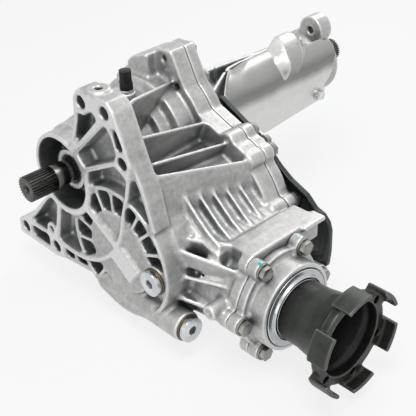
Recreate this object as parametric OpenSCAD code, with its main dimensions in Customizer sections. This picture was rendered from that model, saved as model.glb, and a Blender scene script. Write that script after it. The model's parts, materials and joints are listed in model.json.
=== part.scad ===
// Power transfer unit of a transverse four wheel drive car.
// Millimetres. The origin is the centre of the input bore, in the face that bolts to the
// transmission. +X runs along the input axis away from that face, +Z is up, and the
// output flange points to -Y.

/* [Axes] */
// Jackshaft axis, distance towards the output side
jack_dy = 80; // [78:1:84]
// Jackshaft axis, distance below the input axis
jack_dz = 60; // [58:1:63]
// Pinion axis, distance behind the transmission face
pinion_x = 85; // [84:0.5:86]
// Pinion axis, distance below the input axis
pinion_dz = 86; // [85:0.5:87]

/* [Transmission flange] */
// Depth of the flange band
flange_depth = 24; // [23.5:0.5:26]
// Width of the rims and spokes on the face
rib_w = 4.6; // [4:0.1:5.2]
// Radius of the pilot bore that the transmission enters
pilot_r = 38.5; // [37.5:0.5:39]
// Depth of the pilot bore
pilot_depth = 32; // [28:1:33]
// Outer radius of the rim around the pilot bore
pilot_rim_r = 43.4; // [42.5:0.2:45]
// Outer radius of the large rim below the bore
big_rim_r = 98.5; // [97:0.5:100]
// Radius of the transmission bolt holes
face_hole_r = 6.5; // [5:0.25:7]
// Thickness of the floor behind the face pockets
floor_t = 5; // [4:0.5:6]

/* [Gear case] */
// Gap between the gears and the case
gear_room = 4.5; // [4:0.25:5.5]
// Wall of the case around both gears
case_wall = 7.5; // [6:0.5:8]
// Outer radius of the neck behind the pilot bore
neck_r = 46.5; // [45.5:0.5:48]
// Radius of the flat cap over the front jackshaft bearing
cap_r = 45.5; // [42:0.5:47]
// Depth of that cap behind the transmission face
cap_x = 4; // [3:0.5:5]
// Width of the machined bar across the cap
bar_w = 26; // [20:1:30]
// Distance from the face to the joint with the right cover
joint_x = 150; // [149:0.5:152]
// Number of cooling fins
fin_count = 5; // [3:1:5]
// Distance between the cooling fins
fin_pitch = 16.2; // [15:0.1:17]
// Thickness of a cooling fin
fin_t = 3.6; // [3:0.1:5]

/* [Joint flange] */
// Thickness of the joint flange on the main housing
joint_t = 20; // [16:1:22]
// Thickness of the joint flange on the right cover
cover_t = 14; // [12:1:15]
// Radius of the bosses around the joint bolts
joint_boss_r = 9.5; // [9:0.25:11]

/* [Pinion housing] */
// Outer radius of the pinion housing
pinion_case_r = 50; // [49:0.5:52]
// Distance from the input axis to the retainer joint
retainer_y = 212; // [211:0.5:213]
// Thickness of the retainer flange
retainer_t = 12; // [10:0.5:14]
// Bolt circle radius of the retainer
retainer_bolt_r = 55.5; // [54:0.5:57]
// Radius of the bosses around the retainer bolts
retainer_boss_r = 9.5; // [9:0.25:11]
// Height of the bare pad on top, below the input axis
pad_dz = 27; // [24:0.5:30]

/* [Output flange] */
// Distance from the input axis to the mounting face of the flange
flange_y = 307.5; // [305:0.5:312]
// Outer radius of the flange tabs
flange_r = 53.5; // [52:0.25:55]
// Radius of the pilot bore in the flange
flange_pilot_r = 37.5; // [36:0.25:38]
// Depth of the pilot bore in the flange
flange_pilot_depth = 10; // [6:0.5:12]
// Pitch circle diameter of the flange bolts
flange_pcd = 86; // [85:0.5:88]
// Radius of the flange bolt holes
flange_hole_r = 4; // [3.8:0.05:4.2]
// Height of the tabs in front of the flange face
tab_h = 13; // [8:0.5:15]
// Number of tabs
tab_count = 6; // [6:1:6]

/* [Intermediate shaft] */
// Distance that the left end stands out of the transmission face
shaft_out = 41; // [38:1:46]
// Length of each splined end
spline_len = 30; // [26:1:32]
// Outside radius of the splines
spline_r = 13.5; // [13.2:0.1:14]
// Number of spline teeth
spline_teeth = 29; // [24:1:30]
// Radius of the plain shaft
shaft_r = 12.3; // [11.5:0.1:12.5]
// Distance from the transmission face to the right end
shaft_end_x = 424; // [420:1:430]

/* [Bearing support] */
// Distance from the transmission face to the support bearing
support_x = 362; // [355:1:364]
// Outer radius of the extension tube
tube_r = 25; // [24:0.5:28]
// Outer radius of the bearing seat at its end
support_r = 40; // [38:0.5:42]
// Radius of the mounting hole in the bracket ear
ear_hole_r = 4.5; // [4:0.25:5]

/* [Gears] */
// Module of the transfer gears
gear_m = 2.5; // [2.5:0.5:2.5]
// Teeth of the drive gear on the input shaft
drive_teeth = 43; // [43:1:43]
// Teeth of the driven gear on the jackshaft
driven_teeth = 37; // [37:1:37]
// Face width of the transfer gears
gear_w = 24; // [20:1:26]
// Teeth of the ring gear
ring_teeth = 37; // [30:1:41]
// Teeth of the pinion
pinion_teeth = 15; // [11:1:17]
// Outer radius of the ring gear
ring_r = 60; // [58:0.5:61]

/* [Shields] */
// Thickness of the bright heat shield
shield_t = 1.4; // [1:0.1:2]
// Distance from the input axis to the flat skirt of the heat shield
shield_y = 51; // [50:0.5:54]
// Inner radius of the turn over the top
shield_r = 27; // [25:0.5:29]
// Height of the rolled bulge on the shield
bulge_h = 10; // [6:0.5:12]
// Thickness of the dark rear shield
rear_t = 1.6; // [1.2:0.1:2.5]

/* [Fits] */
// Radial running clearance of shafts in seals and rollers in cups
run = 0.05; // [0.02:0.01:0.1]
// Gap between the tips of the hypoid pair
hypoid_gap = 0.6; // [0.4:0.1:1]

/* [Hidden] */
$fn = 64;
eps = 0.01;

// Axes as points in the Y-Z plane, or in the X-Z plane for the pinion
in_axis = [0, 0];
jack_axis = [-jack_dy, -jack_dz];
pin_axis = [pinion_x, -pinion_dz];
centre_dist = norm(jack_axis);
axis_dir = jack_axis / centre_dist;
axis_angle = atan2(axis_dir[1], axis_dir[0]);

// Transmission bolt holes and the locating dowel, as Y and Z
top_hole_z = 95.5;
low_hole_z = -103.5;
top_holes = [[-49, top_hole_z], [-83, top_hole_z]];
side_hole = [-102.5, 51];
low_holes = [[87, low_hole_z], [29, low_hole_z]];
face_holes = concat(top_holes, [side_hole], low_holes);
dowel_hole = [34.5, -83];
dowel_hole_r = 4;
dowel_depth = 12;
floor_x = flange_depth - floor_t - 1;

// Transfer gears sit just inside the right cover
gear_x = joint_x - 8 - gear_w;
drive_r = gear_m * drive_teeth / 2;
driven_r = gear_m * driven_teeth / 2;
tip_h = 0.9;
drive_tip_r = gear_m * (drive_teeth / 2 + tip_h);
hollow_r = 24;
hollow_bore = 14.6;

// Ring gear and pinion
ring_back_x = 42;
ring_in_r = 40;
pinion_in_y = jack_dy + sqrt(ring_in_r * ring_in_r - pow(pinion_dz - jack_dz, 2));
pinion_out_y = jack_dy + sqrt(ring_r * ring_r - pow(pinion_dz - jack_dz, 2));
pinion_tip_in = 20;
pinion_tip_out = 26;
ring_tip_in_x = pinion_x - pinion_tip_in - hypoid_gap;
ring_tip_out_x = pinion_x - pinion_tip_out - hypoid_gap;
tooth_h = 5;
ring_bolt_r = ring_in_r + 7;
jack_flange_r = ring_bolt_r + 7;

// Gear case
case_front_x = 3;
case_in_r = ring_r + gear_room;
case_r = case_in_r + case_wall;
drive_in_r = drive_tip_r + gear_room;
drive_case_r = drive_in_r + case_wall;
chamber_x = flange_depth;
front_room_r = jack_flange_r + 2;
ring_chamber_x = ring_back_x - 5;
drive_chamber_x = gear_x - 4;
seal_seat_r = 33;
seal_w = 9;
bearing_seat_r = 40;
in_bearing_bore = 22.5;
in_bearing_w = 16;
in_bearing_l_x = ring_tip_in_x + 2;
in_bearing_r_x = joint_x + 2;
jack_bore = 17;
jack_cup_r = 31;
jack_bearing_w = 16;
jack_bearing_l_x = cap_x + 4;
jack_bearing_r_x = joint_x + 2;
joint_bolt_ra = drive_case_r + 2.5;
joint_bolt_rc = case_r + 15;

// Steps of the barrel behind the pilot bore
step_x = [in_bearing_l_x - 4, in_bearing_l_x + in_bearing_w + 6, drive_chamber_x - 6];
step_r = [bearing_seat_r + 10, drive_case_r - 9];

// Pinion bearings, along -Y
head_bearing_y = pinion_out_y + 7;
head_bearing_w = 20;
head_bore = 19;
head_cup_r = 36;
tail_bearing_w = 18;
tail_bearing_y = retainer_y - tail_bearing_w - 2;
tail_bore = 16;
tail_cup_r = 30;
spigot_in_y = tail_bearing_y - 6;
out_seal_r = 34;
out_seal_y = retainer_y + retainer_t + 4;
out_seal_w = 11;
hub_r = 24;
retainer_end_y = retainer_y + 30;
bolt_head_r = 8.8;
retainer_end_r = retainer_bolt_r - bolt_head_r - 1;
dust_r = 44;

// Joint bolts as Y and Z, and the two lobes on top of the joint flange
high_lobe = [-17, 87];
back_lobe = [8, 68.5];
corner_lobe = [-164, -36];
joint_bolts = concat(
    [for (a = [-62, -15, 35, 120]) joint_bolt_ra * [cos(a), sin(a)]],
    [back_lobe, high_lobe, corner_lobe],
    [for (a = [107.5, 127, 218, 253, 288, 322])
        jack_axis + joint_bolt_rc * [cos(a), sin(a)]]);
joint_bolt_hole_r = 4;
joint_dowels = [joint_bolt_ra * [cos(10), sin(10)],
    jack_axis + (joint_bolt_rc - 6) * [cos(200), sin(200)]];
joint_dowel_r = 3.5;

// Plugs
fill_at = [-134, -66];
fill_boss_r = 15.5;
drain_at = [18, -117];
drain_y = 160;
drain_bore = 90;
drain_boss_r = 16;
plug_r = 10;
plug_head_r = 13;
plug_head_h = 6;
washer_t = 1.5;

// Top boss on the tower and the vent
tower_z = 108.5;
tower_boss = [12, -64];
tower_thread_r = 4.25;
vent_at = [80, -16];
vent_boss_z = drive_case_r;
vent_foot_z = bearing_seat_r + 3;
vent_hole_r = 4;

// Side boss on the pinion housing, along X
side_boss = [-195, -78];
side_boss_x = 14;
side_boss_hole_r = 3.4;

// Right cover and extension
cover_x = joint_x + cover_t;
cover_a_r = 60;
cover_c_r = 50;
cover_a_x = cover_x + 8;
cover_end_x = 212;
cover_c_x = cover_x + 22;
ext_flange_t = 8;
ext_x = cover_end_x + ext_flange_t;
ext_bolt_r = 33;
ext_boss_r = 8;
shaft_seal_x = cover_end_x - 8;
shaft_seal_r = 21;
support_bore = 15;
support_cup_r = 31;
support_w = 14;
support_end_x = support_x + support_w + 12;
ear_at = [-19, 49.5];
ear_x = 358;
ear_t = 20;
ear_boss_r = 17;
beam_x = 300;

// Shield lugs, as X and Z, on the extension and on the right cover
shield_lug = [336, -15];
cover_lug = [200, 2];
shield_lugs = [shield_lug, cover_lug];
shield_x = [190, 276, 292, 312, 328, 366];
shield_z = 23;
lug_r = 8;
lug_hole_r = 3;

// Rear shield bolts as Y and Z
rear_x = cover_x + 8;
rear_bolts = [[-116, 10], [-155, -92], [-72, 20]];
rear_boss_r = 7;

// Shapes placed along an axis
module along_x(x0, len) {
    translate([x0, 0, 0]) rotate([90, 0, 90]) linear_extrude(height = len) children();
}
module along_y(y0, len) {
    translate([0, -y0, 0]) rotate([90, 0, 0]) linear_extrude(height = len) children();
}
module cyl_x(x0, len, r, at = [0, 0], r2 = -1) {
    translate([x0, at[0], at[1]]) rotate([0, 90, 0])
        cylinder(h = len, r1 = r, r2 = r2 < 0 ? r : r2);
}
module cyl_y(y0, len, r, at = pin_axis, r2 = -1) {
    translate([at[0], -y0, at[1]]) rotate([90, 0, 0])
        cylinder(h = len, r1 = r, r2 = r2 < 0 ? r : r2);
}
// Turned parts: points are [radius, distance along the axis]
module turned_x(points, at = in_axis) {
    translate([0, at[0], at[1]]) rotate([0, 90, 0]) rotate_extrude() polygon(points);
}
module turned_y(points, at = pin_axis) {
    translate([at[0], 0, at[1]]) rotate([90, 0, 0]) rotate_extrude() polygon(points);
}
module ring_x(x0, len, r_out, r_in, at = in_axis) {
    turned_x([[r_in, x0], [r_out, x0], [r_out, x0 + len], [r_in, x0 + len]], at);
}
module ring_y(y0, len, r_out, r_in, at = pin_axis) {
    turned_y([[r_in, y0], [r_out, y0], [r_out, y0 + len], [r_in, y0 + len]], at);
}
module hexagon(across) {
    circle(r = across / sqrt(3), $fn = 6);
}
// A straight bar in a plane from p to q
module bar(p, q, w) {
    d = q - p;
    translate(p) rotate(atan2(d[1], d[0])) translate([0, -w / 2]) square([norm(d), w]);
    translate(p) circle(r = w / 2, $fn = 16);
    translate(q) circle(r = w / 2, $fn = 16);
}
// A flat rib whose top edge runs from p to q and whose foot lies along d
module rib(p, q, d, hp, hq, t) {
    u = d / norm(d);
    n = cross(q - p, u);
    k = n * (t / 2 / norm(n));
    side = [p, q, q + u * hq, p + u * hp];
    polyhedron(points = concat([for (s = side) s - k], [for (s = side) s + k]),
        faces = [[0, 1, 2, 3], [7, 6, 5, 4], [4, 5, 1, 0], [5, 6, 2, 1], [6, 7, 3, 2],
            [7, 4, 0, 3]]);
}

// Transmission face: walls that stand between pockets, as points in Y and Z
face_edge = [[-12, 30], [-22, 37.5], [-35.5, 74], [-37, 98], [-45, tower_z], [-88, tower_z],
    [-97, 100], [-115.5, 53], [-112.6, 39], [-106.5, 16], [-98.4, -4], [0, 0]];
arm_edge = [[34, -28], [34.5, -40.7], [47.4, -54.7], [64.9, -72.5], [100.5, -98.5],
    [100.5, -117], [28, -116.5], [14, -111], [14, -97], [0, 0]];
band_edge = [[-97, 100], [-115.5, 54], [-121, 42], [-126.5, 31], [-131, 19], [-134.5, 6],
    [-139, -10], [-120, -40], [0, 0]];
band_wall = [[-115.5, 54], [-121, 42], [-126.5, 31], [-131, 19], [-134.5, 6], [-139, -10],
    [-133, -10], [-129.5, 4], [-126, 16], [-121.5, 28], [-116, 38], [-110, 48]];
low_edge = [[14, -96], [28, -116], [-29, -111], [-44, -90]];
wall_r = pilot_rim_r + 3.2;
arc_r = big_rim_r - rib_w - 1;
function on_circle(r, a0, a1, n) = [for (i = [0 : n]) let (a = a0 + (a1 - a0) * i / n)
    r * [cos(a), sin(a)]];
pocket_tower_left = [[-28, 40.5], [-33, 54.5], [-39.5, 73], [-42, 82.5], [-52, 82.5],
    [-58, 87], [-66, 90.5], [-70.5, 84.6]];
pocket_tower_mid = [[-32.7, 36], [-77.1, 78.7], [-82.8, 82.5], [-89.8, 73.9], [-94.5, 58.5],
    [-90.5, 49.5], [-42, 23.5]];
pocket_slot = [[-91.2, 83.2], [-97.4, 84], [-105.4, 67.9], [-104, 63], [-96.4, 62.1]];
pocket_right = concat([[-46.2, 19.8], [-90.5, 43.6], [-97.5, 40.5], [-106.3, 36],
    [-101.2, 14], [-95, -5]], on_circle(arc_r, 188, 209, 3), [[-43, -24.5]],
    on_circle(wall_r, 203, 166, 4));
pocket_low = concat(on_circle(wall_r, 283, 220, 6), [[-75.5, -53.6]],
    on_circle(arc_r, 218, 283, 9), [[22, -89.8]]);
pocket_arm = [[26, -39.5], [16.5, -43.6], [25.1, -77], [31.7, -75], [37.7, -75.4],
    [42.1, -80], [43.9, -89.5], [68.1, -89.3], [71.4, -86.4], [62.2, -77.8], [35, -46.6]];
pocket_arm_low = [[74.8, -96.8], [44.2, -94.6], [42.2, -95.9], [42.1, -109.7],
    [73.8, -109.2]];
face_pockets = [pocket_tower_left, pocket_tower_mid, pocket_slot, pocket_right, pocket_low,
    pocket_arm, pocket_arm_low];
module face_outline() {
    circle(r = pilot_rim_r);
    polygon(face_edge);
    polygon(arm_edge);
    intersection() {
        circle(r = big_rim_r);
        polygon([[0, 0], [-150, -6], [-150, -150], [22.6, -150]]);
    }
}
module flange_outline() {
    face_outline();
    polygon(band_edge);
    polygon(low_edge);
    translate(jack_axis) circle(r = case_r);
}
// Thin rib from the pilot rim, then the wide machined bar beyond the large rim
module machined_bar() {
    rotate(30.4) translate([-arc_r + 5, -rib_w / 2 - 1])
        square([arc_r - pilot_rim_r - 2.5, rib_w]);
    rotate(axis_angle) translate([arc_r + 1, -bar_w / 2])
        square([centre_dist + 30 - arc_r, bar_w]);
}
// Ladder of pockets around the cap, with the outer walls of the band
ladder_angles = [-95, -72, -51, -30, -9, 12, 44, 65, 86, 105, 121, 137, 157, 177];
module case_front() {
    difference() {
        translate(jack_axis) circle(r = case_r);
        translate(jack_axis) circle(r = case_r - rib_w);
    }
    for (a = ladder_angles) translate(jack_axis) rotate(a)
        translate([cap_r - 3, -rib_w / 2 + 0.4]) square([case_r - cap_r, rib_w - 0.8]);
    polygon(band_wall);
    polygon([[26, -117], [-29, -111], [-32, -105], [26, -111.5]]);
    for (s = [[2, -94], [-22, -90]]) translate(s) rotate(-100)
        translate([0, -rib_w / 2]) square([20, rib_w - 1]);
}

// Joint between the main housing and the right cover
joint_edge = [[-42, 62], [-66, 40], [-97, 28], [-122, 23], [-139, 15], [-80, -60], [0, 0]];
joint_back_edge = [[51, -55], [-20, -122], [-80, -60], [0, 0]];
top_lobe = [[4, 60], [-5, 97], [-28, 98], [-46, 62]];
back_block = [[28, 50], [26, 78], [16, 86], [-6, 93], [-8, 50]];
module joint_outline() {
    circle(r = drive_case_r + 9);
    translate(jack_axis) circle(r = case_r + 15);
    for (b = joint_bolts) translate(b) circle(r = joint_boss_r);
    polygon(joint_edge);
    polygon(joint_back_edge);
    polygon(top_lobe);
    polygon(back_block);
}

// Outline of the retainer joint in the X-Z plane
module retainer_bosses() {
    translate(pin_axis) for (a = [0 : 60 : 300]) rotate(a) {
        translate([retainer_bolt_r, 0]) circle(r = retainer_boss_r);
        translate([retainer_end_r - 10, -retainer_boss_r + 1])
            square([retainer_bolt_r - retainer_end_r + 10, 2 * retainer_boss_r - 2]);
    }
}
module retainer_outline() {
    translate(pin_axis) circle(r = pinion_case_r + 2);
    retainer_bosses();
}
module at_retainer_bolts() {
    for (a = [0 : 60 : 300])
        translate([pin_axis[0] + retainer_bolt_r * cos(a), 0,
            pin_axis[1] + retainer_bolt_r * sin(a)]) children();
}

// Side views of the shoulder above the pinion, its left end, the pad and a fin, as Y and Z
shoulder = [[-100, -40], [-112, -6], [-127, -3], [-140, -14], [-158, -28], [-182, -33],
    [-182, -80], [-100, -80]];
left_shoulder = [[-100, -40], [-112, -14], [-133, -8], [-141, -14], [-150, -34],
    [-150, -70], [-100, -70]];
pad_side = [[-179, -pad_dz], [-retainer_y, -pad_dz], [-retainer_y, -pad_dz - 24],
    [-179, -pad_dz - 30]];
fin_side = [[-112, -20], [-120, 3], [-126, 10.5], [-133, 8.5], [-141, 0], [-150, -8],
    [-163, -19], [-179, -28], [-179, -40], [-112, -40]];
pad_x0 = 57;
pad_x1 = joint_x - eps;
lip_w = [26, 17, 5];
shoulder_x0 = 42;
shoulder_x1 = joint_x - joint_t + 4;
fin_x0 = 49;
fin_drop = 1.4;

module transmission_flange() {
    difference() {
        along_x(0, floor_x + 1) face_outline();
        for (p = face_pockets) along_x(-1, floor_x + 1) polygon(p);
    }
    along_x(0, floor_x + 1) machined_bar();
    along_x(case_front_x, floor_x - case_front_x + 1) case_front();
    cyl_x(cap_x, floor_x - cap_x + 1, cap_r, jack_axis);
    along_x(floor_x, flange_depth - floor_x) flange_outline();
    cyl_x(case_front_x, flange_depth, fill_boss_r, fill_at);
}
module gear_case() {
    turned_x([[0, floor_x + 2], [neck_r, floor_x + 2], [neck_r, step_x[0]],
        [step_r[0], step_x[0] + 3], [step_r[0], step_x[1]], [step_r[1], step_x[1] + 3],
        [step_r[1], step_x[2] - 4], [drive_case_r, step_x[2] + 1], [drive_case_r, joint_x - 2],
        [0, joint_x - 2]]);
    cyl_x(flange_depth - 1, joint_x - flange_depth - 1, case_r - 0.5, jack_axis);
    along_x(joint_x - joint_t, joint_t) joint_outline();
    along_x(joint_x - joint_t - 14, 16) polygon(back_block);
    translate([tower_boss[0], tower_boss[1], tower_z - 14]) cylinder(h = 17, r = 11);
    translate([vent_at[0], vent_at[1], vent_foot_z - 3])
        cylinder(h = vent_boss_z - vent_foot_z + 3, r = 9.5);
}
module pinion_case() {
    cyl_y(jack_dy + 10, retainer_y - jack_dy - 12, pinion_case_r);
    along_x(shoulder_x0, shoulder_x1 - shoulder_x0) polygon(shoulder);
    along_x(flange_depth - 2, shoulder_x0 - flange_depth + 4) polygon(left_shoulder);
    along_x(pad_x0, pad_x1 - pad_x0) polygon(pad_side);
    translate([joint_x - lip_w[0], -retainer_y - 5, -pad_dz - lip_w[2]]) cube(lip_w + [5, 0, 0]);
    along_y(retainer_y - 12, 12) retainer_outline();
    for (i = [0 : fin_count - 1])
        translate([0, 0, -i * fin_drop]) along_x(fin_x0 + i * fin_pitch - fin_t / 2, fin_t)
            polygon(fin_side);
    cyl_y(40, drain_y - 40, drain_boss_r, drain_at);
    cyl_x(side_boss_x, 34, 8, side_boss);
}
module housing_ribs() {
    joint_front = joint_x - joint_t + 2;
    // Long ribs from the flange band to the joint flange
    rib([20, -88, 100], [joint_front, -28, 66], [0.1, 0.5, -1], 75, 36, 3.5);
    rib([20, -102, 70], [joint_front, -74, 34], [0, 0.5, -1], 58, 40, 3.5);
    rib([20, -115, 47], [joint_front, -106, 22], [0, 0.6, -1], 52, 40, 3.5);
    rib([20, -121, 38], [joint_front, -134, 13], [0, -0.2, -1], 50, 44, 4.5);
    // Ribs on the left flank of the pinion housing
    rib([20, -119, -25], [58, -183, -pad_dz], [0, 0.15, -1], 50, 40, 5);
    rib([20, -141, -30], [50, -202, -46], [0, 0.5, -1], 20, 20, 4);
    rib([22, -150, -62], [44, -205, -62], [0.5, 0.3, -0.3], 18, 18, 4);
    rib([20, -144, -90], [46, -206, -102], [0.5, 0.3, 0], 30, 30, 5);
    rib([34, -126, -112], [54, -200, -124], [0.6, 0.3, 0.2], 26, 24, 5);
    // Ribs under the case and on the back of the tower
    rib([20, 20, -112], [joint_front, 10, -70], [0, -0.5, 1], 60, 40, 4);
    rib([20, 86, -100], [joint_front, 52, -44], [0, -0.8, 1], 60, 20, 4);
    rib([20, 42, -8], [joint_front, 70, -10], [0, -1, 0.1], 10, 20, 4);
    rib([20, 28, 34], [joint_front, 52, 52], [0, -0.7, -0.7], 12, 20, 4);
}
module input_bores() {
    cyl_x(-1, pilot_depth + 1, pilot_r);
    cyl_x(pilot_depth - 1, in_bearing_l_x - pilot_depth + 2, seal_seat_r);
    cyl_x(in_bearing_l_x, 60, bearing_seat_r);
    cyl_x(drive_chamber_x, joint_x - drive_chamber_x + 1, drive_in_r);
}
module other_bores() {
    cyl_x(jack_bearing_l_x, chamber_x, jack_cup_r, jack_axis);
    cyl_x(chamber_x + 0.5, ring_chamber_x - chamber_x, front_room_r, jack_axis);
    cyl_x(ring_chamber_x, joint_x - ring_chamber_x + 1, case_in_r, jack_axis);
    cyl_y(jack_dy, head_bearing_y - jack_dy + 1, 31);
    cyl_y(head_bearing_y, retainer_y, head_cup_r);
}
module housing_holes() {
    for (h = face_holes) cyl_x(-1, flange_depth + 30, face_hole_r, h);
    cyl_x(-1, dowel_depth + 1, dowel_hole_r, dowel_hole);
    for (b = joint_bolts) {
        start = joint_x - joint_t - (b == back_lobe ? 15 : 1);
        cyl_x(start, joint_x + 1 - start, joint_bolt_hole_r, b);
    }
    for (b = joint_dowels) cyl_x(joint_x - 8, 9, joint_dowel_r, b);
    at_retainer_bolts() cyl_y(retainer_y - 13, 14, 4, [0, 0]);
    cyl_x(case_front_x - 1, 30, plug_r, fill_at);
    cyl_y(drain_y - drain_bore, drain_bore + 1, plug_r, drain_at);
    translate([tower_boss[0], tower_boss[1], tower_z - 15])
        cylinder(h = 22, r = tower_thread_r);
    translate([vent_at[0], vent_at[1], vent_foot_z])
        cylinder(h = vent_boss_z - vent_foot_z + 1, r = vent_hole_r);
    cyl_x(vent_at[0], drive_chamber_x - vent_at[0] + 1, vent_hole_r - 1,
        [vent_at[1], vent_foot_z + 3]);
    cyl_x(side_boss_x - 1, 18, side_boss_hole_r, side_boss);
}
module main_housing() {
    color("silver") difference() {
        union() {
            transmission_flange();
            gear_case();
            pinion_case();
            housing_ribs();
        }
        input_bores();
        other_bores();
        housing_holes();
    }
}

// Rib on a dome: from radius r0 at x0 to radius r1 at x1, at an angle about an axis
module dome_rib(at, a, x0, r0, x1, r1) {
    u = [cos(a), sin(a)];
    rib([x0, at[0] + r0 * u[0], at[1] + r0 * u[1]], [x1, at[0] + r1 * u[0], at[1] + r1 * u[1]],
        [0, -u[0], -u[1]], 16, 8, 4);
}
module cover_ribs() {
    for (a = [15, 55, 175, 215, 255, 295, 335])
        dome_rib(in_axis, a, cover_x - 1, cover_a_r + 1, cover_end_x - 2, tube_r + 16);
    for (a = [95 : 30 : 335])
        dome_rib(jack_axis, a, cover_x - 1, cover_c_r + 14, cover_c_x - 5, cover_c_r - 1);
    // Truss towards the extension
    rib([cover_x - 1, -5, 50], [cover_end_x - 1, -5, 47], [0, 0, -1], 20, 20, 5);
    rib([cover_x + 5, -45, 42], [cover_end_x - 1, -24, 48], [0, 0.3, -1], 14, 28, 4);
}
module extension_joint_outline() {
    circle(r = tube_r + 5);
    for (a = [45 : 90 : 315]) rotate(a) {
        translate([ext_bolt_r, 0]) circle(r = ext_boss_r);
        translate([0, -ext_boss_r]) square([ext_bolt_r, 2 * ext_boss_r]);
    }
}
module right_cover() {
    color("silver") difference() {
        union() {
            along_x(joint_x, cover_t) joint_outline();
            cyl_x(cover_x - 1, cover_a_x - cover_x + 1, cover_a_r);
            cyl_x(cover_a_x, cover_end_x - cover_a_x - 6, cover_a_r, in_axis, tube_r + 8);
            along_x(cover_end_x - 10, 10) extension_joint_outline();
            cyl_x(cover_x - 1, cover_c_x - cover_x - 4, cover_c_r, jack_axis);
            cyl_x(cover_c_x - 5, 5, cover_c_r, jack_axis, cover_c_r - 8);
            for (b = rear_bolts) cyl_x(cover_x - 2, rear_x - cover_x + 2, rear_boss_r, b);
            cyl_y(20, shield_y - 20, lug_r, cover_lug);
            cover_ribs();
        }
        cyl_x(joint_x - 1, in_bearing_w + 3, bearing_seat_r);
        cyl_x(joint_x, shaft_seal_x - joint_x - 6, 30);
        cyl_x(joint_x, cover_end_x - joint_x + 1, 16);
        cyl_x(shaft_seal_x, 12, shaft_seal_r);
        cyl_x(joint_x - 1, jack_bearing_w + 5, jack_cup_r, jack_axis);
        for (b = joint_bolts) cyl_x(joint_x - 1, cover_t + 2, joint_bolt_hole_r, b);
        for (b = joint_dowels) cyl_x(joint_x - 1, 7, joint_dowel_r, b);
        for (a = [45 : 90 : 315])
            cyl_x(cover_end_x - 12, 13, 3, ext_bolt_r * [cos(a), sin(a)]);
        for (b = rear_bolts) cyl_x(rear_x - 16, 17, lug_hole_r, b);
        cyl_y(shield_y - 14, 15, lug_hole_r, cover_lug);
    }
}

module extension_housing() {
    tube_end = support_x - 20;
    color("silver") difference() {
        union() {
            along_x(cover_end_x, ext_flange_t) extension_joint_outline();
            cyl_x(cover_end_x, tube_end - cover_end_x + 1, tube_r);
            cyl_x(tube_end, 14, tube_r, in_axis, support_r);
            cyl_x(tube_end + 14, support_end_x - tube_end - 14, support_r);
            along_x(ear_x, ear_t) {
                translate(ear_at) circle(r = ear_boss_r);
                bar([-4, 20], ear_at, 2 * ear_boss_r - 4);
            }
            // Longitudinal ribs on the tube
            rib([cover_end_x + 1, -5, 47], [beam_x + 1, -5, 42], [0, 0, -1], 22, 20, 5);
            rib([beam_x, -5, 42], [support_x - 6, -3, 39], [0, 0, -1], 20, 20, 5);
            rib([ext_x - 6, 38, 0], [support_x - 6, 34, 0], [0, -1, 0], 20, 16, 4);
            rib([ext_x - 6, 0, -40], [support_x - 6, 0, -36], [0, 0, 1], 30, 26, 5);
            // Diagonal of the truss, free over the joint bolt under it
            rib([cover_end_x + 1, -23.5, 48.5], [ext_x, -20, 49], [0, 0, -1], 20, 18, 4);
            rib([ext_x - 1, -20.3, 49], [ext_x + 12, -19, 49], [0, 0, -1], 16, 17, 4);
            rib([ext_x + 10, -19, 49], [beam_x, -12, 46], [0, 0, -1], 34, 28, 4);
            // Lug that carries the heat shield
            cyl_y(10, shield_y - 10, lug_r, shield_lug);
        }
        cyl_x(cover_end_x - 1, support_x, tube_r - 6);
        cyl_x(support_x, 60, support_cup_r);
        ring_x(support_x + support_w, 1.6, support_cup_r + 1.5, support_cup_r - 2);
        cyl_x(ear_x - 1, ear_t + 2, ear_hole_r, ear_at);
        for (a = [45 : 90 : 315])
            cyl_x(cover_end_x - 1, ext_flange_t + 2, 3, ext_bolt_r * [cos(a), sin(a)]);
        cyl_y(shield_y - 14, 15, lug_hole_r, shield_lug);
    }
}

module bearing_retainer() {
    color("silver") difference() {
        union() {
            along_y(retainer_y, retainer_t - 3) retainer_outline();
            along_y(retainer_y, retainer_t) retainer_bosses();
            cyl_y(spigot_in_y, retainer_y - spigot_in_y + 1, head_cup_r);
            cyl_y(retainer_y + 1, retainer_end_y - retainer_y - 2, retainer_end_r);
            cyl_y(retainer_end_y - 1 - eps, 1, retainer_end_r, pin_axis, retainer_end_r - 1);
        }
        cyl_y(spigot_in_y - 1, tail_bearing_w + 9, tail_cup_r);
        cyl_y(retainer_y - 4, 60, hub_r + 2);
        cyl_y(out_seal_y, 60, out_seal_r);
        cyl_y(retainer_end_y - 3, 10, retainer_end_r - 5);
        at_retainer_bolts() cyl_y(retainer_y - 1, retainer_t + 2, 4.2, [0, 0]);
        ring_y(retainer_y - 6, 3, head_cup_r + 1, head_cup_r - 2);
    }
}

// Seals: a steel case with a lip that runs on the shaft
module seal_profile_x(x0, w, r_out, r_in) {
    turned_x([[r_in + run, x0 + 2], [r_in + 3, x0], [r_out - 3, x0 + 3], [r_out - 3, x0],
        [r_out, x0], [r_out, x0 + w], [r_in + 4, x0 + w], [r_in + 4, x0 + w - 2],
        [r_in + run, x0 + 4]]);
}
module input_seal() {
    color("dimgray") seal_profile_x(pilot_depth, seal_w, seal_seat_r, in_bearing_bore - 0.5);
}
module shaft_seal() {
    color("dimgray") seal_profile_x(shaft_seal_x, 8, shaft_seal_r, shaft_r);
}
module output_seal() {
    lip = out_seal_y + out_seal_w - 2;
    color("dimgray") turned_y([[hub_r + run, lip - 2], [hub_r + 3, lip + 2],
        [out_seal_r - 3, lip - 1], [out_seal_r - 3, lip + 2], [out_seal_r, lip + 2],
        [out_seal_r, out_seal_y], [hub_r + 4, out_seal_y], [hub_r + 4, out_seal_y + 2],
        [hub_r + run, lip - 4]]);
}

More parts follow.
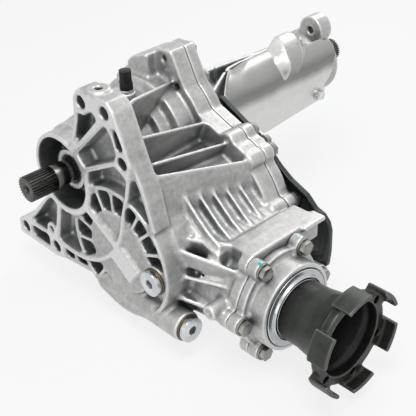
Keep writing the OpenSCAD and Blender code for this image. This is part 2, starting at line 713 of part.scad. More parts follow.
// Deep groove ball bearings: [bore, cup, width, ball radius, balls]
in_ball = [in_bearing_bore, bearing_seat_r, in_bearing_w, 5, 13];
support_ball = [support_bore, support_cup_r, support_w, 4.6, 9];
function ball_pcr(b) = (b[0] + b[1]) / 2;
module ball_outer(x0, b) {
    translate([x0, 0, 0]) rotate([0, 90, 0]) rotate_extrude() difference() {
        translate([ball_pcr(b) + b[3] * 0.45, 0]) square([b[1] - ball_pcr(b) - b[3] * 0.45, b[2]]);
        translate([ball_pcr(b), b[2] / 2]) circle(r = b[3] + run);
    }
}
module ball_inner(x0, b) {
    translate([x0, 0, 0]) rotate([0, 90, 0]) rotate_extrude() difference() {
        translate([b[0], 0]) square([ball_pcr(b) - b[3] * 0.45 - b[0], b[2]]);
        translate([ball_pcr(b), b[2] / 2]) circle(r = b[3]);
    }
}
module balls(x0, b) {
    for (i = [0 : b[4] - 1]) rotate([i * 360 / b[4], 0, 0])
        translate([x0 + b[2] / 2, ball_pcr(b), 0]) sphere(r = b[3] - 0.01, $fn = 32);
}
module input_bearing_left_outer() {
    color("lightsteelblue") ball_outer(in_bearing_l_x, in_ball);
}
module input_bearing_right_outer() {
    color("lightsteelblue") ball_outer(in_bearing_r_x, in_ball);
}
module input_bearing_left_inner() {
    color("lightsteelblue") {
        ball_inner(in_bearing_l_x, in_ball);
        balls(in_bearing_l_x, in_ball);
    }
}
module input_bearing_right_inner() {
    color("lightsteelblue") {
        ball_inner(in_bearing_r_x, in_ball);
        balls(in_bearing_r_x, in_ball);
    }
}
module support_bearing_outer() {
    color("lightsteelblue") ball_outer(support_x, support_ball);
}
module support_bearing_inner() {
    color("lightsteelblue") ball_inner(support_x, support_ball);
}
module support_bearing_balls() {
    color("lightsteelblue") balls(support_x, support_ball);
}

// Taper roller bearings: [bore, cup, width, roller radius, rollers]. The small end is at 0.
jack_roll = [jack_bore, jack_cup_r, jack_bearing_w, 3.2, 18];
head_roll = [head_bore, head_cup_r, head_bearing_w, 4, 18];
tail_roll = [tail_bore, tail_cup_r, tail_bearing_w, 3.4, 17];
roll_tilt = 12;
function race(b, side, z) = (b[0] + b[1]) / 2 + side * b[3] / cos(roll_tilt)
    + (z - b[2] / 2) * tan(roll_tilt);
module taper_cup(b) {
    rotate_extrude() polygon([[race(b, 1, 0) + run, 0], [b[1], 0], [b[1], b[2]],
        [race(b, 1, b[2]) + run, b[2]]]);
}
module taper_cone(b) {
    rotate_extrude() polygon([[b[0], 0], [race(b, -1, 0), 0], [race(b, -1, b[2]), b[2]],
        [b[0], b[2]]]);
    for (i = [0 : b[4] - 1]) rotate(i * 360 / b[4])
        translate([(b[0] + b[1]) / 2, 0, b[2] / 2]) rotate([0, roll_tilt, 0])
            translate([0, 0, -0.36 * b[2]]) cylinder(h = 0.72 * b[2], r = b[3] - 0.01, $fn = 24);
}
module at_jack_left() {
    translate([jack_bearing_l_x + jack_bearing_w, jack_axis[0], jack_axis[1]])
        rotate([0, -90, 0]) children();
}
module at_jack_right() {
    translate([jack_bearing_r_x, jack_axis[0], jack_axis[1]]) rotate([0, 90, 0]) children();
}
module at_head() {
    translate([pin_axis[0], -head_bearing_y - head_bearing_w, pin_axis[1]])
        rotate([-90, 0, 0]) children();
}
module at_tail() {
    translate([pin_axis[0], -tail_bearing_y, pin_axis[1]]) rotate([90, 0, 0]) children();
}
module jackshaft_cup_left() {
    color("lightsteelblue") at_jack_left() taper_cup(jack_roll);
}
module jackshaft_cup_right() {
    color("lightsteelblue") at_jack_right() taper_cup(jack_roll);
}
module jackshaft_cone_left() {
    color("lightsteelblue") at_jack_left() taper_cone(jack_roll);
}
module jackshaft_cone_right() {
    color("lightsteelblue") at_jack_right() taper_cone(jack_roll);
}
module pinion_head_cup() {
    color("lightsteelblue") at_head() taper_cup(head_roll);
}
module pinion_tail_cup() {
    color("lightsteelblue") at_tail() taper_cup(tail_roll);
}
module pinion_head_cone() {
    color("lightsteelblue") at_head() taper_cone(head_roll);
}
module pinion_tail_cone() {
    color("lightsteelblue") at_tail() taper_cone(tail_roll);
}

// Hexagon flange bolt along +Z with its seat at z 0 and its shank below
module flange_bolt(r, len, head_r = bolt_head_r, across = 13) {
    cylinder(h = 1.8, r = head_r);
    translate([0, 0, 1.8 - eps]) linear_extrude(height = 5) hexagon(across);
    translate([0, 0, -len]) cylinder(h = len + eps, r = r);
}
module retainer_bolts() {
    color("gray") at_retainer_bolts() translate([0, -retainer_y - retainer_t, 0])
        rotate([90, 0, 0]) flange_bolt(4, retainer_t + 12);
}
module cover_bolts() {
    color("gray") for (b = joint_bolts) translate([cover_x, b[0], b[1]])
        rotate([0, 90, 0]) flange_bolt(joint_bolt_hole_r, cover_t + joint_t - 4);
}
module cover_dowels() {
    color("gainsboro") for (b = joint_dowels) cyl_x(joint_x - 8, 14, joint_dowel_r, b);
}
module extension_bolts() {
    color("gray") for (a = [45 : 90 : 315])
        translate([ext_x, ext_bolt_r * cos(a), ext_bolt_r * sin(a)])
            rotate([0, 90, 0]) flange_bolt(3, 18, 6.8, 10);
}
module heat_shield_bolts() {
    color("gainsboro") for (s = shield_lugs)
        translate([s[0], -shield_y - shield_t, s[1]]) rotate([90, 0, 0])
            flange_bolt(lug_hole_r, 14, 7, 10);
}
module rear_shield_bolts() {
    color("gray") for (b = rear_bolts) translate([rear_x + rear_t, b[0], b[1]])
        rotate([0, 90, 0]) flange_bolt(lug_hole_r, 16, 6.8, 10);
}

// Threaded plug along +Z, head above z 0
module plug() {
    difference() {
        union() {
            cylinder(h = plug_head_h, r = plug_head_r);
            translate([0, 0, -14]) cylinder(h = 14 + eps, r = plug_r);
        }
        translate([0, 0, plug_head_h - 5]) linear_extrude(height = 6) hexagon(9);
    }
}
module plug_washer() {
    difference() {
        cylinder(h = washer_t, r = plug_head_r + 1.2);
        translate([0, 0, -1]) cylinder(h = washer_t + 2, r = plug_r);
    }
}
module fill_plug() {
    color("gainsboro") translate([case_front_x - washer_t, fill_at[0], fill_at[1]])
        rotate([0, -90, 0]) plug();
}
module fill_plug_washer() {
    color("darkgoldenrod") translate([case_front_x, fill_at[0], fill_at[1]])
        rotate([0, -90, 0]) plug_washer();
}
module drain_plug() {
    color("gainsboro") translate([drain_at[0], -drain_y - washer_t, drain_at[1]])
        rotate([90, 0, 0]) plug();
}
module drain_plug_washer() {
    color("darkgoldenrod") translate([drain_at[0], -drain_y, drain_at[1]])
        rotate([90, 0, 0]) plug_washer();
}
module sump_magnet() {
    color("dimgray") translate([drain_at[0], -drain_y + 13, drain_at[1]])
        rotate([-90, 0, 0]) cylinder(h = 8, r = 7);
}
module vent_fitting() {
    color("gainsboro") translate([vent_at[0], vent_at[1], vent_boss_z]) {
        linear_extrude(height = 3) hexagon(14);
        translate([0, 0, -10]) cylinder(h = 10 + eps, r = vent_hole_r);
        cylinder(h = 12, r = 3.4);
    }
}
module vent_cap() {
    color("black") translate([vent_at[0], vent_at[1], vent_boss_z + 3]) difference() {
        union() {
            linear_extrude(height = 8) hexagon(13);
            translate([0, 0, 8]) cylinder(h = 12, r = 6.2);
        }
        translate([0, 0, -1]) cylinder(h = 10, r = 3.4);
    }
}
module retainer_o_ring() {
    color("black") ring_y(retainer_y - 6, 3, head_cup_r, head_cup_r - 2);
}
module jackshaft_shim() {
    color("gainsboro") ring_x(jack_bearing_r_x + jack_bearing_w, 2, jack_cup_r, jack_cup_r - 5,
        jack_axis);
}
module pinion_shim() {
    color("gainsboro") ring_y(head_bearing_y + head_bearing_w, 1.5, head_cup_r, head_cup_r - 4);
}
module support_snap_ring() {
    color("gray") along_x(support_x + support_w, 1.5) difference() {
        circle(r = support_cup_r + 1.4);
        circle(r = support_cup_r - 2.5);
        translate([-4, -support_cup_r - 4]) square([8, 12]);
    }
}

// Bright stamped shield: a flat skirt, a quarter turn over the tube and a rolled bulge
module shield_turn(x0, x1, r0, r1) {
    translate([x0, -shield_y + shield_r, shield_z]) rotate([0, 90, 0]) rotate([0, 0, 180])
        rotate_extrude(angle = 90) polygon([[r0, 0], [r0 + shield_t, 0],
            [r1 + shield_t, x1 - x0], [r1, x1 - x0]]);
}
skirt = [[185, shield_z], [191, 12], [191, -4], [200, -8], [209, -6], [222, -13], [243, -31],
    [348, -23],
    [348, -6], [358, 0], [364, 10], [364, shield_z]];
module heat_shield() {
    bulge = shield_r + bulge_h;
    radii = [shield_r, shield_r, bulge, bulge, shield_r, shield_r];
    color("whitesmoke") difference() {
        union() {
            for (i = [0 : 4]) shield_turn(shield_x[i], shield_x[i + 1] + eps, radii[i],
                radii[i + 1]);
            translate([0, -shield_y, 0]) rotate([90, 0, 0])
                linear_extrude(height = shield_t) polygon(skirt);
            translate([shield_x[1], -shield_y - bulge_h - shield_t, shield_z - shield_t])
                cube([shield_x[4] - shield_x[1], bulge_h + shield_t, shield_t]);
        }
        for (s = shield_lugs) cyl_y(shield_y - 1, 4, lug_hole_r, s);
        // Clearance around the bracket ear, and the corner that leaves the truss open
        cyl_x(ear_x - 2, 60, ear_boss_r + 2, ear_at);
        translate([0, 0, shield_z]) linear_extrude(height = 60)
            polygon([[150, -60], [180, -53], [230, -12], [230, 20], [150, 20]]);
    }
}
// Dark stamped shield behind the joint, with a turned rim
rear_rim = 5;
rear_outline = concat([[-56, 40], [-60, 45], [-101, 24], [-111, 20], [-124, 13], [-131, 5],
    [-143, -6], [-158, -16], [-180, -25], [-192, -36], [-202, -39], [-209, -46], [-212, -56],
    [-212, -82], [-210, -99], [-196, -106], [-176, -100], [-150, -104]],
    [for (a = [205 : -11 : 84]) jack_axis + (cover_c_r + 18) * [cos(a), sin(a)]], [[-66, 16]]);
function left_of(p, q) = let (u = (q - p) / norm(q - p)) [-u[1], u[0]];
function inset(ps, d) = [for (i = [0 : len(ps) - 1]) let (n = len(ps),
    a = left_of(ps[(i + n - 1) % n], ps[i]), b = left_of(ps[i], ps[(i + 1) % n]))
    ps[i] + (a + b) * d / (1 + a * b)];
module rear_shield() {
    color("darkslategray") difference() {
        union() {
            along_x(rear_x, rear_t) polygon(rear_outline);
            along_x(rear_x - rear_rim, rear_rim + eps) difference() {
                polygon(rear_outline);
                polygon(inset(rear_outline, rear_t));
            }
        }
        for (b = rear_bolts) cyl_x(rear_x - 2, 8, lug_hole_r, b);
        for (b = joint_bolts) cyl_x(cover_x - 2, rear_x - cover_x + 2, bolt_head_r + 1, b);
        for (b = rear_bolts) cyl_x(cover_x - 2, rear_x - cover_x + 2, rear_boss_r + 0.5, b);
    }
}

// Splined end: angles are half of a tooth's width at its root and at its tip
spline_depth = 1.8;
root_half = 0.29;
tip_half = 0.18;
module spline(x0, len, r, teeth) {
    pitch = 360 / teeth;
    along_x(x0, len) polygon([for (i = [0 : teeth - 1], k = [[-root_half, spline_depth],
        [-tip_half, 0], [tip_half, 0], [root_half, spline_depth]])
        (r - k[1]) * [cos((i + k[0]) * pitch), sin((i + k[0]) * pitch)]]);
}
module intermediate_shaft() {
    left = -shaft_out + spline_len - eps;
    right = shaft_end_x - spline_len + eps;
    shoulder_r = support_bore + 2.5;
    groove_r = support_bore - 1.2;
    groove_x = support_x + support_w;
    color("dimgray") difference() {
        union() {
            spline(-shaft_out, spline_len, spline_r, spline_teeth);
            turned_x([[0, left], [shaft_r, left], [shaft_r, support_x - 12],
                [shoulder_r, support_x - 12], [shoulder_r, support_x], [support_bore, support_x],
                [support_bore, groove_x], [groove_r, groove_x], [groove_r, groove_x + 1.6],
                [support_bore, groove_x + 1.6], [support_bore, groove_x + 8],
                [shaft_r, groove_x + 8], [shaft_r, right], [0, right]]);
            spline(shaft_end_x - spline_len, spline_len, spline_r, spline_teeth);
        }
        // Centre drillings in both ends
        turned_x([[0, -shaft_out - 1], [6, -shaft_out - 1], [3, -shaft_out + 2],
            [3, -shaft_out + 6], [0, -shaft_out + 6]]);
        turned_x([[0, shaft_end_x + 1], [6, shaft_end_x + 1], [3, shaft_end_x - 2],
            [3, shaft_end_x - 6], [0, shaft_end_x - 6]]);
    }
}
module shaft_snap_ring() {
    color("gray") along_x(support_x + support_w, 1.5) difference() {
        circle(r = support_bore + 1.6);
        circle(r = support_bore - 1.2);
        translate([-3, -support_bore - 4]) square([6, 8]);
    }
}
module input_shaft() {
    left = 12;
    right = in_bearing_r_x + in_bearing_w + 6;
    color("gray") difference() {
        turned_x([[hollow_bore, left], [in_bearing_bore - 1.5, left],
            [in_bearing_bore - 0.5, left + 1], [in_bearing_bore - 0.5, in_bearing_l_x - 2],
            [in_bearing_bore, in_bearing_l_x - 2],
            [in_bearing_bore, in_bearing_l_x + in_bearing_w],
            [hollow_r + 3, in_bearing_l_x + in_bearing_w],
            [hollow_r + 3, gear_x - 12], [hollow_r + 4, gear_x - 12], [hollow_r + 4, gear_x],
            [hollow_r, gear_x], [hollow_r, gear_x + gear_w + 2],
            [in_bearing_bore, gear_x + gear_w + 2], [in_bearing_bore, right],
            [hollow_bore, right]]);
        // Female spline that takes the transmission's output
        for (i = [0 : 23]) rotate([i * 15, 0, 0])
            translate([left - 1, -1, hollow_bore - 1]) cube([18, 2, 3]);
        ring_x(gear_x + gear_w, 1.6, hollow_r + 1, hollow_r - 1.2);
    }
}
module needle_bearing() {
    mid = (hollow_bore + shaft_r) / 2;
    r = (hollow_bore - shaft_r) / 2 - run;
    color("lightsteelblue") for (i = [0 : 19]) rotate([i * 18, 0, 0])
        cyl_x(in_bearing_l_x + 24, 18, r, [mid + run / 2, 0]);
}
module drive_gear_snap_ring() {
    color("gray") along_x(gear_x + gear_w, 1.5) difference() {
        circle(r = hollow_r + 1.6);
        circle(r = hollow_r - 1.2);
        translate([-4, -hollow_r - 4]) square([8, 8]);
    }
}

// Involute gear outline, thinned a little for backlash
pressure = 20;
function involute(a) = tan(a) * 180 / PI - a;
function half_angle(z, r) = 86 / z + involute(pressure)
    - involute(acos(min(1, gear_m * z * cos(pressure) / 2 / r)));
module gear_outline(z) {
    tip = gear_m * (z / 2 + tip_h);
    root = gear_m * (z - 2.4) / 2;
    base = max(root + 0.2, gear_m * z * cos(pressure) / 2);
    rs = [root, base, (base + tip) / 2, tip];
    polygon([for (i = [0 : z - 1], s = [-1, 1], k = [0 : 3])
        let (r = rs[s < 0 ? k : 3 - k], a = 360 * i / z + s * half_angle(z, max(r, base)))
        r * [cos(a), sin(a)]]);
}
module drive_gear() {
    color("darkgray") difference() {
        along_x(gear_x, gear_w) rotate(axis_angle) gear_outline(drive_teeth);
        cyl_x(gear_x - 1, gear_w + 2, hollow_r);
        ring_x(gear_x - 1, 7, drive_r - 8, hollow_r + 8);
        ring_x(gear_x + gear_w - 6, 7, drive_r - 8, hollow_r + 8);
    }
}
module driven_gear() {
    color("darkgray") difference() {
        along_x(gear_x, gear_w) translate(jack_axis)
            rotate(axis_angle + 180 + 180 / driven_teeth) gear_outline(driven_teeth);
        cyl_x(gear_x - 1, gear_w + 2, 21, jack_axis);
        ring_x(gear_x - 1, 6, driven_r - 7, 28, jack_axis);
        ring_x(gear_x + gear_w - 5, 6, driven_r - 7, 28, jack_axis);
    }
}

// Hypoid pair: teeth drawn just short of each other, so that they clear at every angle
ring_flange_r = 34;
module ring_gear() {
    spiral = 30;
    slope = atan2(ring_tip_out_x - ring_tip_in_x, ring_r - ring_in_r);
    bar_len = (ring_r - ring_in_r) / cos(spiral) + 12;
    mid_r = (ring_in_r + ring_r) / 2;
    mid_x = (ring_tip_in_x + ring_tip_out_x) / 2;
    color("darkgray") difference() {
        union() {
            turned_x([[ring_flange_r, ring_back_x], [ring_r - 2, ring_back_x],
                [ring_r, ring_back_x + 3], [ring_r, ring_tip_out_x - tooth_h],
                [ring_in_r, ring_tip_in_x - tooth_h], [ring_flange_r, ring_tip_in_x - tooth_h - 2]],
                jack_axis);
            intersection() {
                turned_x([[ring_in_r, ring_back_x + 3], [ring_r, ring_back_x + 3],
                    [ring_r, ring_tip_out_x], [ring_in_r, ring_tip_in_x]], jack_axis);
                translate([0, jack_axis[0], jack_axis[1]])
                    for (i = [0 : ring_teeth - 1]) rotate([i * 360 / ring_teeth, 0, 0])
                        translate([mid_x, mid_r, 0]) rotate([spiral, 0, 0])
                            rotate([0, 0, -slope]) translate([-tooth_h - 4, -bar_len / 2, -1.9])
                                cube([tooth_h + 6, bar_len, 3.8]);
            }
        }
        for (i = [0 : 7]) cyl_x(ring_back_x - 1, 12, 3,
            jack_axis + ring_bolt_r * [cos(45 * i), sin(45 * i)]);
    }
}
module ring_gear_bolts() {
    color("dimgray") for (i = [0 : 7])
        translate([ring_back_x - 8, jack_axis[0] + ring_bolt_r * cos(45 * i),
            jack_axis[1] + ring_bolt_r * sin(45 * i)])
            rotate([0, -90, 0]) flange_bolt(3, 16, 5.4, 8);
}
module jackshaft() {
    right = jack_bearing_r_x + jack_bearing_w;
    flange_x = ring_back_x - 8;
    color("gray") difference() {
        turned_x([[0, cap_x + 5], [jack_bore - 1, cap_x + 5], [jack_bore, cap_x + 6],
            [jack_bore, jack_bearing_l_x + jack_bearing_w], [22, jack_bearing_l_x + jack_bearing_w],
            [24, flange_x], [jack_flange_r, flange_x], [jack_flange_r, ring_back_x],
            [ring_flange_r, ring_back_x],
            [ring_flange_r, ring_back_x + 12], [22, ring_back_x + 18], [22, gear_x - 6],
            [25, gear_x - 6], [25, gear_x], [21, gear_x], [21, gear_x + gear_w],
            [21, jack_bearing_r_x], [jack_bore, jack_bearing_r_x], [jack_bore, right - 1],
            [jack_bore - 1, right], [0, right]], jack_axis);
        for (i = [0 : 7]) cyl_x(flange_x - 1, 10, 3,
            jack_axis + ring_bolt_r * [cos(45 * i), sin(45 * i)]);
    }
}
module pinion_shaft() {
    spiral = 35;
    slope = atan2(pinion_tip_out - pinion_tip_in, pinion_out_y - pinion_in_y);
    bar_len = (pinion_out_y - pinion_in_y) / cos(spiral) + 18;
    mid_r = (pinion_tip_in + pinion_tip_out) / 2;
    mid_y = (pinion_in_y + pinion_out_y) / 2;
    end_y = flange_y - 30;
    color("gray") {
        turned_y([[0, pinion_in_y], [pinion_tip_in - 5, pinion_in_y],
            [pinion_tip_out - 5, pinion_out_y], [pinion_tip_out - 1, pinion_out_y],
            [24, head_bearing_y], [head_bore, head_bearing_y],
            [head_bore, head_bearing_y + head_bearing_w],
            [tail_bore, head_bearing_y + head_bearing_w], [tail_bore, retainer_y - 2],
            [14, retainer_y - 2], [14, end_y - 18], [11, end_y - 18], [11, end_y], [0, end_y]]);
        intersection() {
            turned_y([[pinion_tip_in - 7, pinion_in_y], [pinion_tip_in, pinion_in_y],
                [pinion_tip_out, pinion_out_y], [pinion_tip_out - 7, pinion_out_y]]);
            translate([pin_axis[0], -mid_y, pin_axis[1]])
                for (i = [0 : pinion_teeth - 1]) rotate([0, i * 360 / pinion_teeth, 0])
                    translate([mid_r, 0, 0]) rotate([spiral, 0, 0]) rotate([0, 0, -slope])
                        translate([-6, -bar_len / 2, -1.9]) cube([8, bar_len, 3.8]);
        }
    }
}
module crush_sleeve() {
    y0 = head_bearing_y + head_bearing_w;
    y1 = tail_bearing_y;
    mid = (y0 + y1) / 2;
    color("gainsboro") turned_y([[tail_bore, y0], [tail_bore + 3, y0], [tail_bore + 5, mid],
        [tail_bore + 3, y1], [tail_bore, y1], [tail_bore + 2, mid]]);
}

// Output flange with its six tabs
tab_half = 17;
tab_turn = -22.5;
module tab_wedges() {
    far = 1.5 * flange_r;
    for (i = [0 : tab_count - 1]) rotate(tab_turn + i * 360 / tab_count)
        polygon([[0, 0], far * [cos(tab_half), -sin(tab_half)], [far + 10, 0],
            far * [cos(tab_half), sin(tab_half)]]);
}
module flange_plate() {
    translate(pin_axis) difference() {
        union() {
            circle(r = flange_r - 7);
            intersection() {
                circle(r = flange_r);
                tab_wedges();
            }
        }
        circle(r = flange_pilot_r);
    }
}
module flange_tabs() {
    translate(pin_axis) intersection() {
        difference() {
            circle(r = flange_r);
            circle(r = flange_r - 4);
        }
        tab_wedges();
    }
}
module output_flange() {
    hub_in = retainer_y - 2;
    plate = flange_y - 9;
    nut_seat = flange_y - 48;
    color("dimgray") difference() {
        union() {
            turned_y([[14, hub_in], [hub_r - 1, hub_in], [hub_r, hub_in + 1],
                [hub_r, retainer_end_y + 2], [31, retainer_end_y + 4], [31.5, plate - 34],
                [34, plate - 18], [40, plate - 4], [44, plate], [46, plate],
                [46, flange_y], [flange_pilot_r, flange_y],
                [flange_pilot_r, flange_y - flange_pilot_depth],
                [flange_pilot_r - 3, flange_y - flange_pilot_depth - 4],
                [27, nut_seat + 14], [26, nut_seat], [14, nut_seat]]);
            along_y(plate, 9) flange_plate();
            along_y(plate, 9 + tab_h) flange_tabs();
        }
        for (i = [0 : tab_count - 1]) {
            a = tab_turn + i * 360 / tab_count;
            cyl_y(plate - 12, 30, flange_hole_r,
                pin_axis + flange_pcd / 2 * [cos(a), sin(a)]);
        }
    }
}
module flange_nut() {
    nut_seat = flange_y - 48;
    color("gray") difference() {
        union() {
            cyl_y(nut_seat, 3, 20);
            along_y(nut_seat + 3 - eps, 12) translate(pin_axis) hexagon(32);
        }
        cyl_y(nut_seat - 1, 20, 11);
    }
}
// Pressed ring on the flange hub that keeps dirt off the seal
module dust_shield() {
    y0 = retainer_end_y + 0.6;
    ridge_r = dust_r - 6;
    color("gainsboro") turned_y([[hub_r, y0 - 2.8], [hub_r + 1.4, y0 - 2.8], [hub_r + 1.4, y0 - 1.5],
        [ridge_r - 2, y0 - 1.5], [ridge_r - 2, y0], [dust_r, y0], [dust_r, y0 + 1.5],
        [ridge_r + 0.5, y0 + 1.5], [ridge_r, y0 + 4], [ridge_r - 3, y0 + 4],
        [ridge_r - 3.8, y0 + 2], [ridge_r - 5.4, y0 + 1], [hub_r, y0 + 1]]);
}

main_housing();
right_cover();
extension_housing();
bearing_retainer();
input_seal();
output_seal();
shaft_seal();
input_bearing_left_outer();
input_bearing_right_outer();
jackshaft_cup_left();
jackshaft_cup_right();
pinion_head_cup();
pinion_tail_cup();
support_bearing_outer();
retainer_bolts();
cover_bolts();
cover_dowels();
extension_bolts();
fill_plug();
fill_plug_washer();
drain_plug();
drain_plug_washer();
vent_cap();
vent_fitting();
heat_shield();
heat_shield_bolts();
rear_shield();
rear_shield_bolts();
sump_magnet();
retainer_o_ring();
jackshaft_shim();
pinion_shim();
support_snap_ring();
intermediate_shaft();
support_bearing_inner();
support_bearing_balls();
shaft_snap_ring();
input_shaft();
drive_gear();
input_bearing_left_inner();
input_bearing_right_inner();
needle_bearing();
drive_gear_snap_ring();
jackshaft();
driven_gear();
ring_gear();
ring_gear_bolts();
jackshaft_cone_left();
jackshaft_cone_right();
pinion_shaft();
pinion_head_cone();
pinion_tail_cone();
crush_sleeve();
output_flange();
flange_nut();
dust_shield();
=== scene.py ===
"""The looks of a power transfer unit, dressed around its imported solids.

Metres, in the part's own frame: the origin is the centre of the input bore in the face that
bolts to the transmission, +X points away from that face, +Z is up and the output flange
points to -Y.
"""
import json
import math

import bmesh
import bpy
import numpy as np
from mathutils import Matrix, Vector, noise

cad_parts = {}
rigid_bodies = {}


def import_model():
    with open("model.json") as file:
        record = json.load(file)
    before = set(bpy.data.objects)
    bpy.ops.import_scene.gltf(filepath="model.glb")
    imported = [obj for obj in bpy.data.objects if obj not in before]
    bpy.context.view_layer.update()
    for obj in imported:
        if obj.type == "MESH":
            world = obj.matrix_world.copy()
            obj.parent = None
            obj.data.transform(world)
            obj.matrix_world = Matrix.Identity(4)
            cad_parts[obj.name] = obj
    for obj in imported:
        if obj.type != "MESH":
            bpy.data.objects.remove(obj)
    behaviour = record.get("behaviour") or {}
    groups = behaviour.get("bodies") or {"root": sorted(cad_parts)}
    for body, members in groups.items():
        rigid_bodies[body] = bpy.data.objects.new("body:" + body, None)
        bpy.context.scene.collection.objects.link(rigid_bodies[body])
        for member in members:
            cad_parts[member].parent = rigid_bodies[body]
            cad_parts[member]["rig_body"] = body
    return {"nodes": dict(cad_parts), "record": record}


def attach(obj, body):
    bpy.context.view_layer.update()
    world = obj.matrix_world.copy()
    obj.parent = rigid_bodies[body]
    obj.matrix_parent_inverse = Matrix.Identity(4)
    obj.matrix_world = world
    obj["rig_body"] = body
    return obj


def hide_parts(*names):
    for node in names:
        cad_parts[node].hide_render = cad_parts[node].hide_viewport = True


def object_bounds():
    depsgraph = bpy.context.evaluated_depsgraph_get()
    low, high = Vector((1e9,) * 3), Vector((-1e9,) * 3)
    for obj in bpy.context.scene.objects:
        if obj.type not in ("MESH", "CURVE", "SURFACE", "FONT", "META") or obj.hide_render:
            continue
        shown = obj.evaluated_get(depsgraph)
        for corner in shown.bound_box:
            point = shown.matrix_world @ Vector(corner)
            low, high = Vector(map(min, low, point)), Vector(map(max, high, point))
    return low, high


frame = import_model()
CAD_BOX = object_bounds()
MM = 0.001
SLOTS = {s["node"]: s["material_slot"] for s in frame["record"]["subparts"]}

# Places and sizes on the part, in millimetres
PINION_X, PINION_Z = 85, -86
PILOT_BORE_R = 39.2
FACE_RIM_DEPTH = 1.2
RETAINER_FACE_Y = -235
FLANGE_HUB_Y = -245
SHAFT_GROUND_FROM, SHAFT_GROUND_TO = -11, 366

# The bright shield: the skirt's plane and lower edge, the bend and the sheet
SHIELD_Y = -51
SHIELD_LOW = -30.6
SHIELD_Z = 23
SHIELD_R = 27
SHIELD_T = 1.4
SHIELD_BOLT_Z = -15
SHEET_ROWS, SHEET_COLUMNS = 130, 210
# The ends of the skirt as (Z, X), the left end over the bend as (Y, X)
SKIRT_LEFT = ((-31, 243), (-13, 222), (-8, 203), (-4, 191), (12, 191), (23, 186))
SKIRT_RIGHT = ((-31, 244), (-23, 348), (-6, 348), (0, 357), (10, 363), (23, 365))
BEND_LEFT = ((-53, 180), (-12, 230))
BEND_RIGHT = 366
# The right end steps back in a notch at this turn of the bend, in radians
NOTCH_TURN = 1.0
NOTCH_DEPTH = 22
# The bulge's height, and X of its two flanks at its lower end, on the bend and on top
BULGE_H, BULGE_TOP_H = 10, 12
RISE_FROM, RISE_TO = (273, 268, 275), (281, 285, 293)
FALL_FROM, FALL_TO = (292, 304, 311), (302, 322, 329)
# Small creases in the sheet as (X, Z, reach)
CREASES = ((205, 12, 30), (302, 12, 16))

# The rear shield's outer edge as (Y, Z)
REAR_EDGE = ((-60, 45), (-101, 24), (-124, 13), (-143, -6), (-158, -16), (-180, -25), (-192, -36),
             (-202, -39), (-209, -46), (-212, -56), (-212, -82), (-210, -99), (-196, -106))
# Its pressed bead runs beside that edge, and the field inside it lies lower
BEAD_FROM_EDGE, BEAD_HALF, BEAD_H = 12, 3.2, 1.6
FIELD_FROM_EDGE, FIELD_SLOPE, FIELD_DEPTH = 18, 10, 1.2

# The dust shield's ring: radii, depths along -Y, and ridges as (radius, half width, height)
RING_R, RING_HUB_R, RING_STEP = 40.2, 24.1, 0.3
RING_BACK, RING_FACE = 241.4, 242.4
RIDGES = ((33.4, 1.8, 3.0), (30.2, 1.3, 2.8))

# The ground sleeve on the intermediate shaft, beside its left spline
SLEEVE_R, SLEEVE_EASE = 12.36, 0.4
SLEEVE_FROM, SLEEVE_TO = -10.8, 11.4

# The camera stands where the photographer's did
CAMERA_AT = (-0.4224, -0.6738, 0.4579)
CAMERA_AZIMUTH, CAMERA_ELEVATION, CAMERA_ROLL = -42.7, 32.9, -2.3
CAMERA_HALF_ANGLE = 13
SENSOR = 36


# Shader nodes in short calls

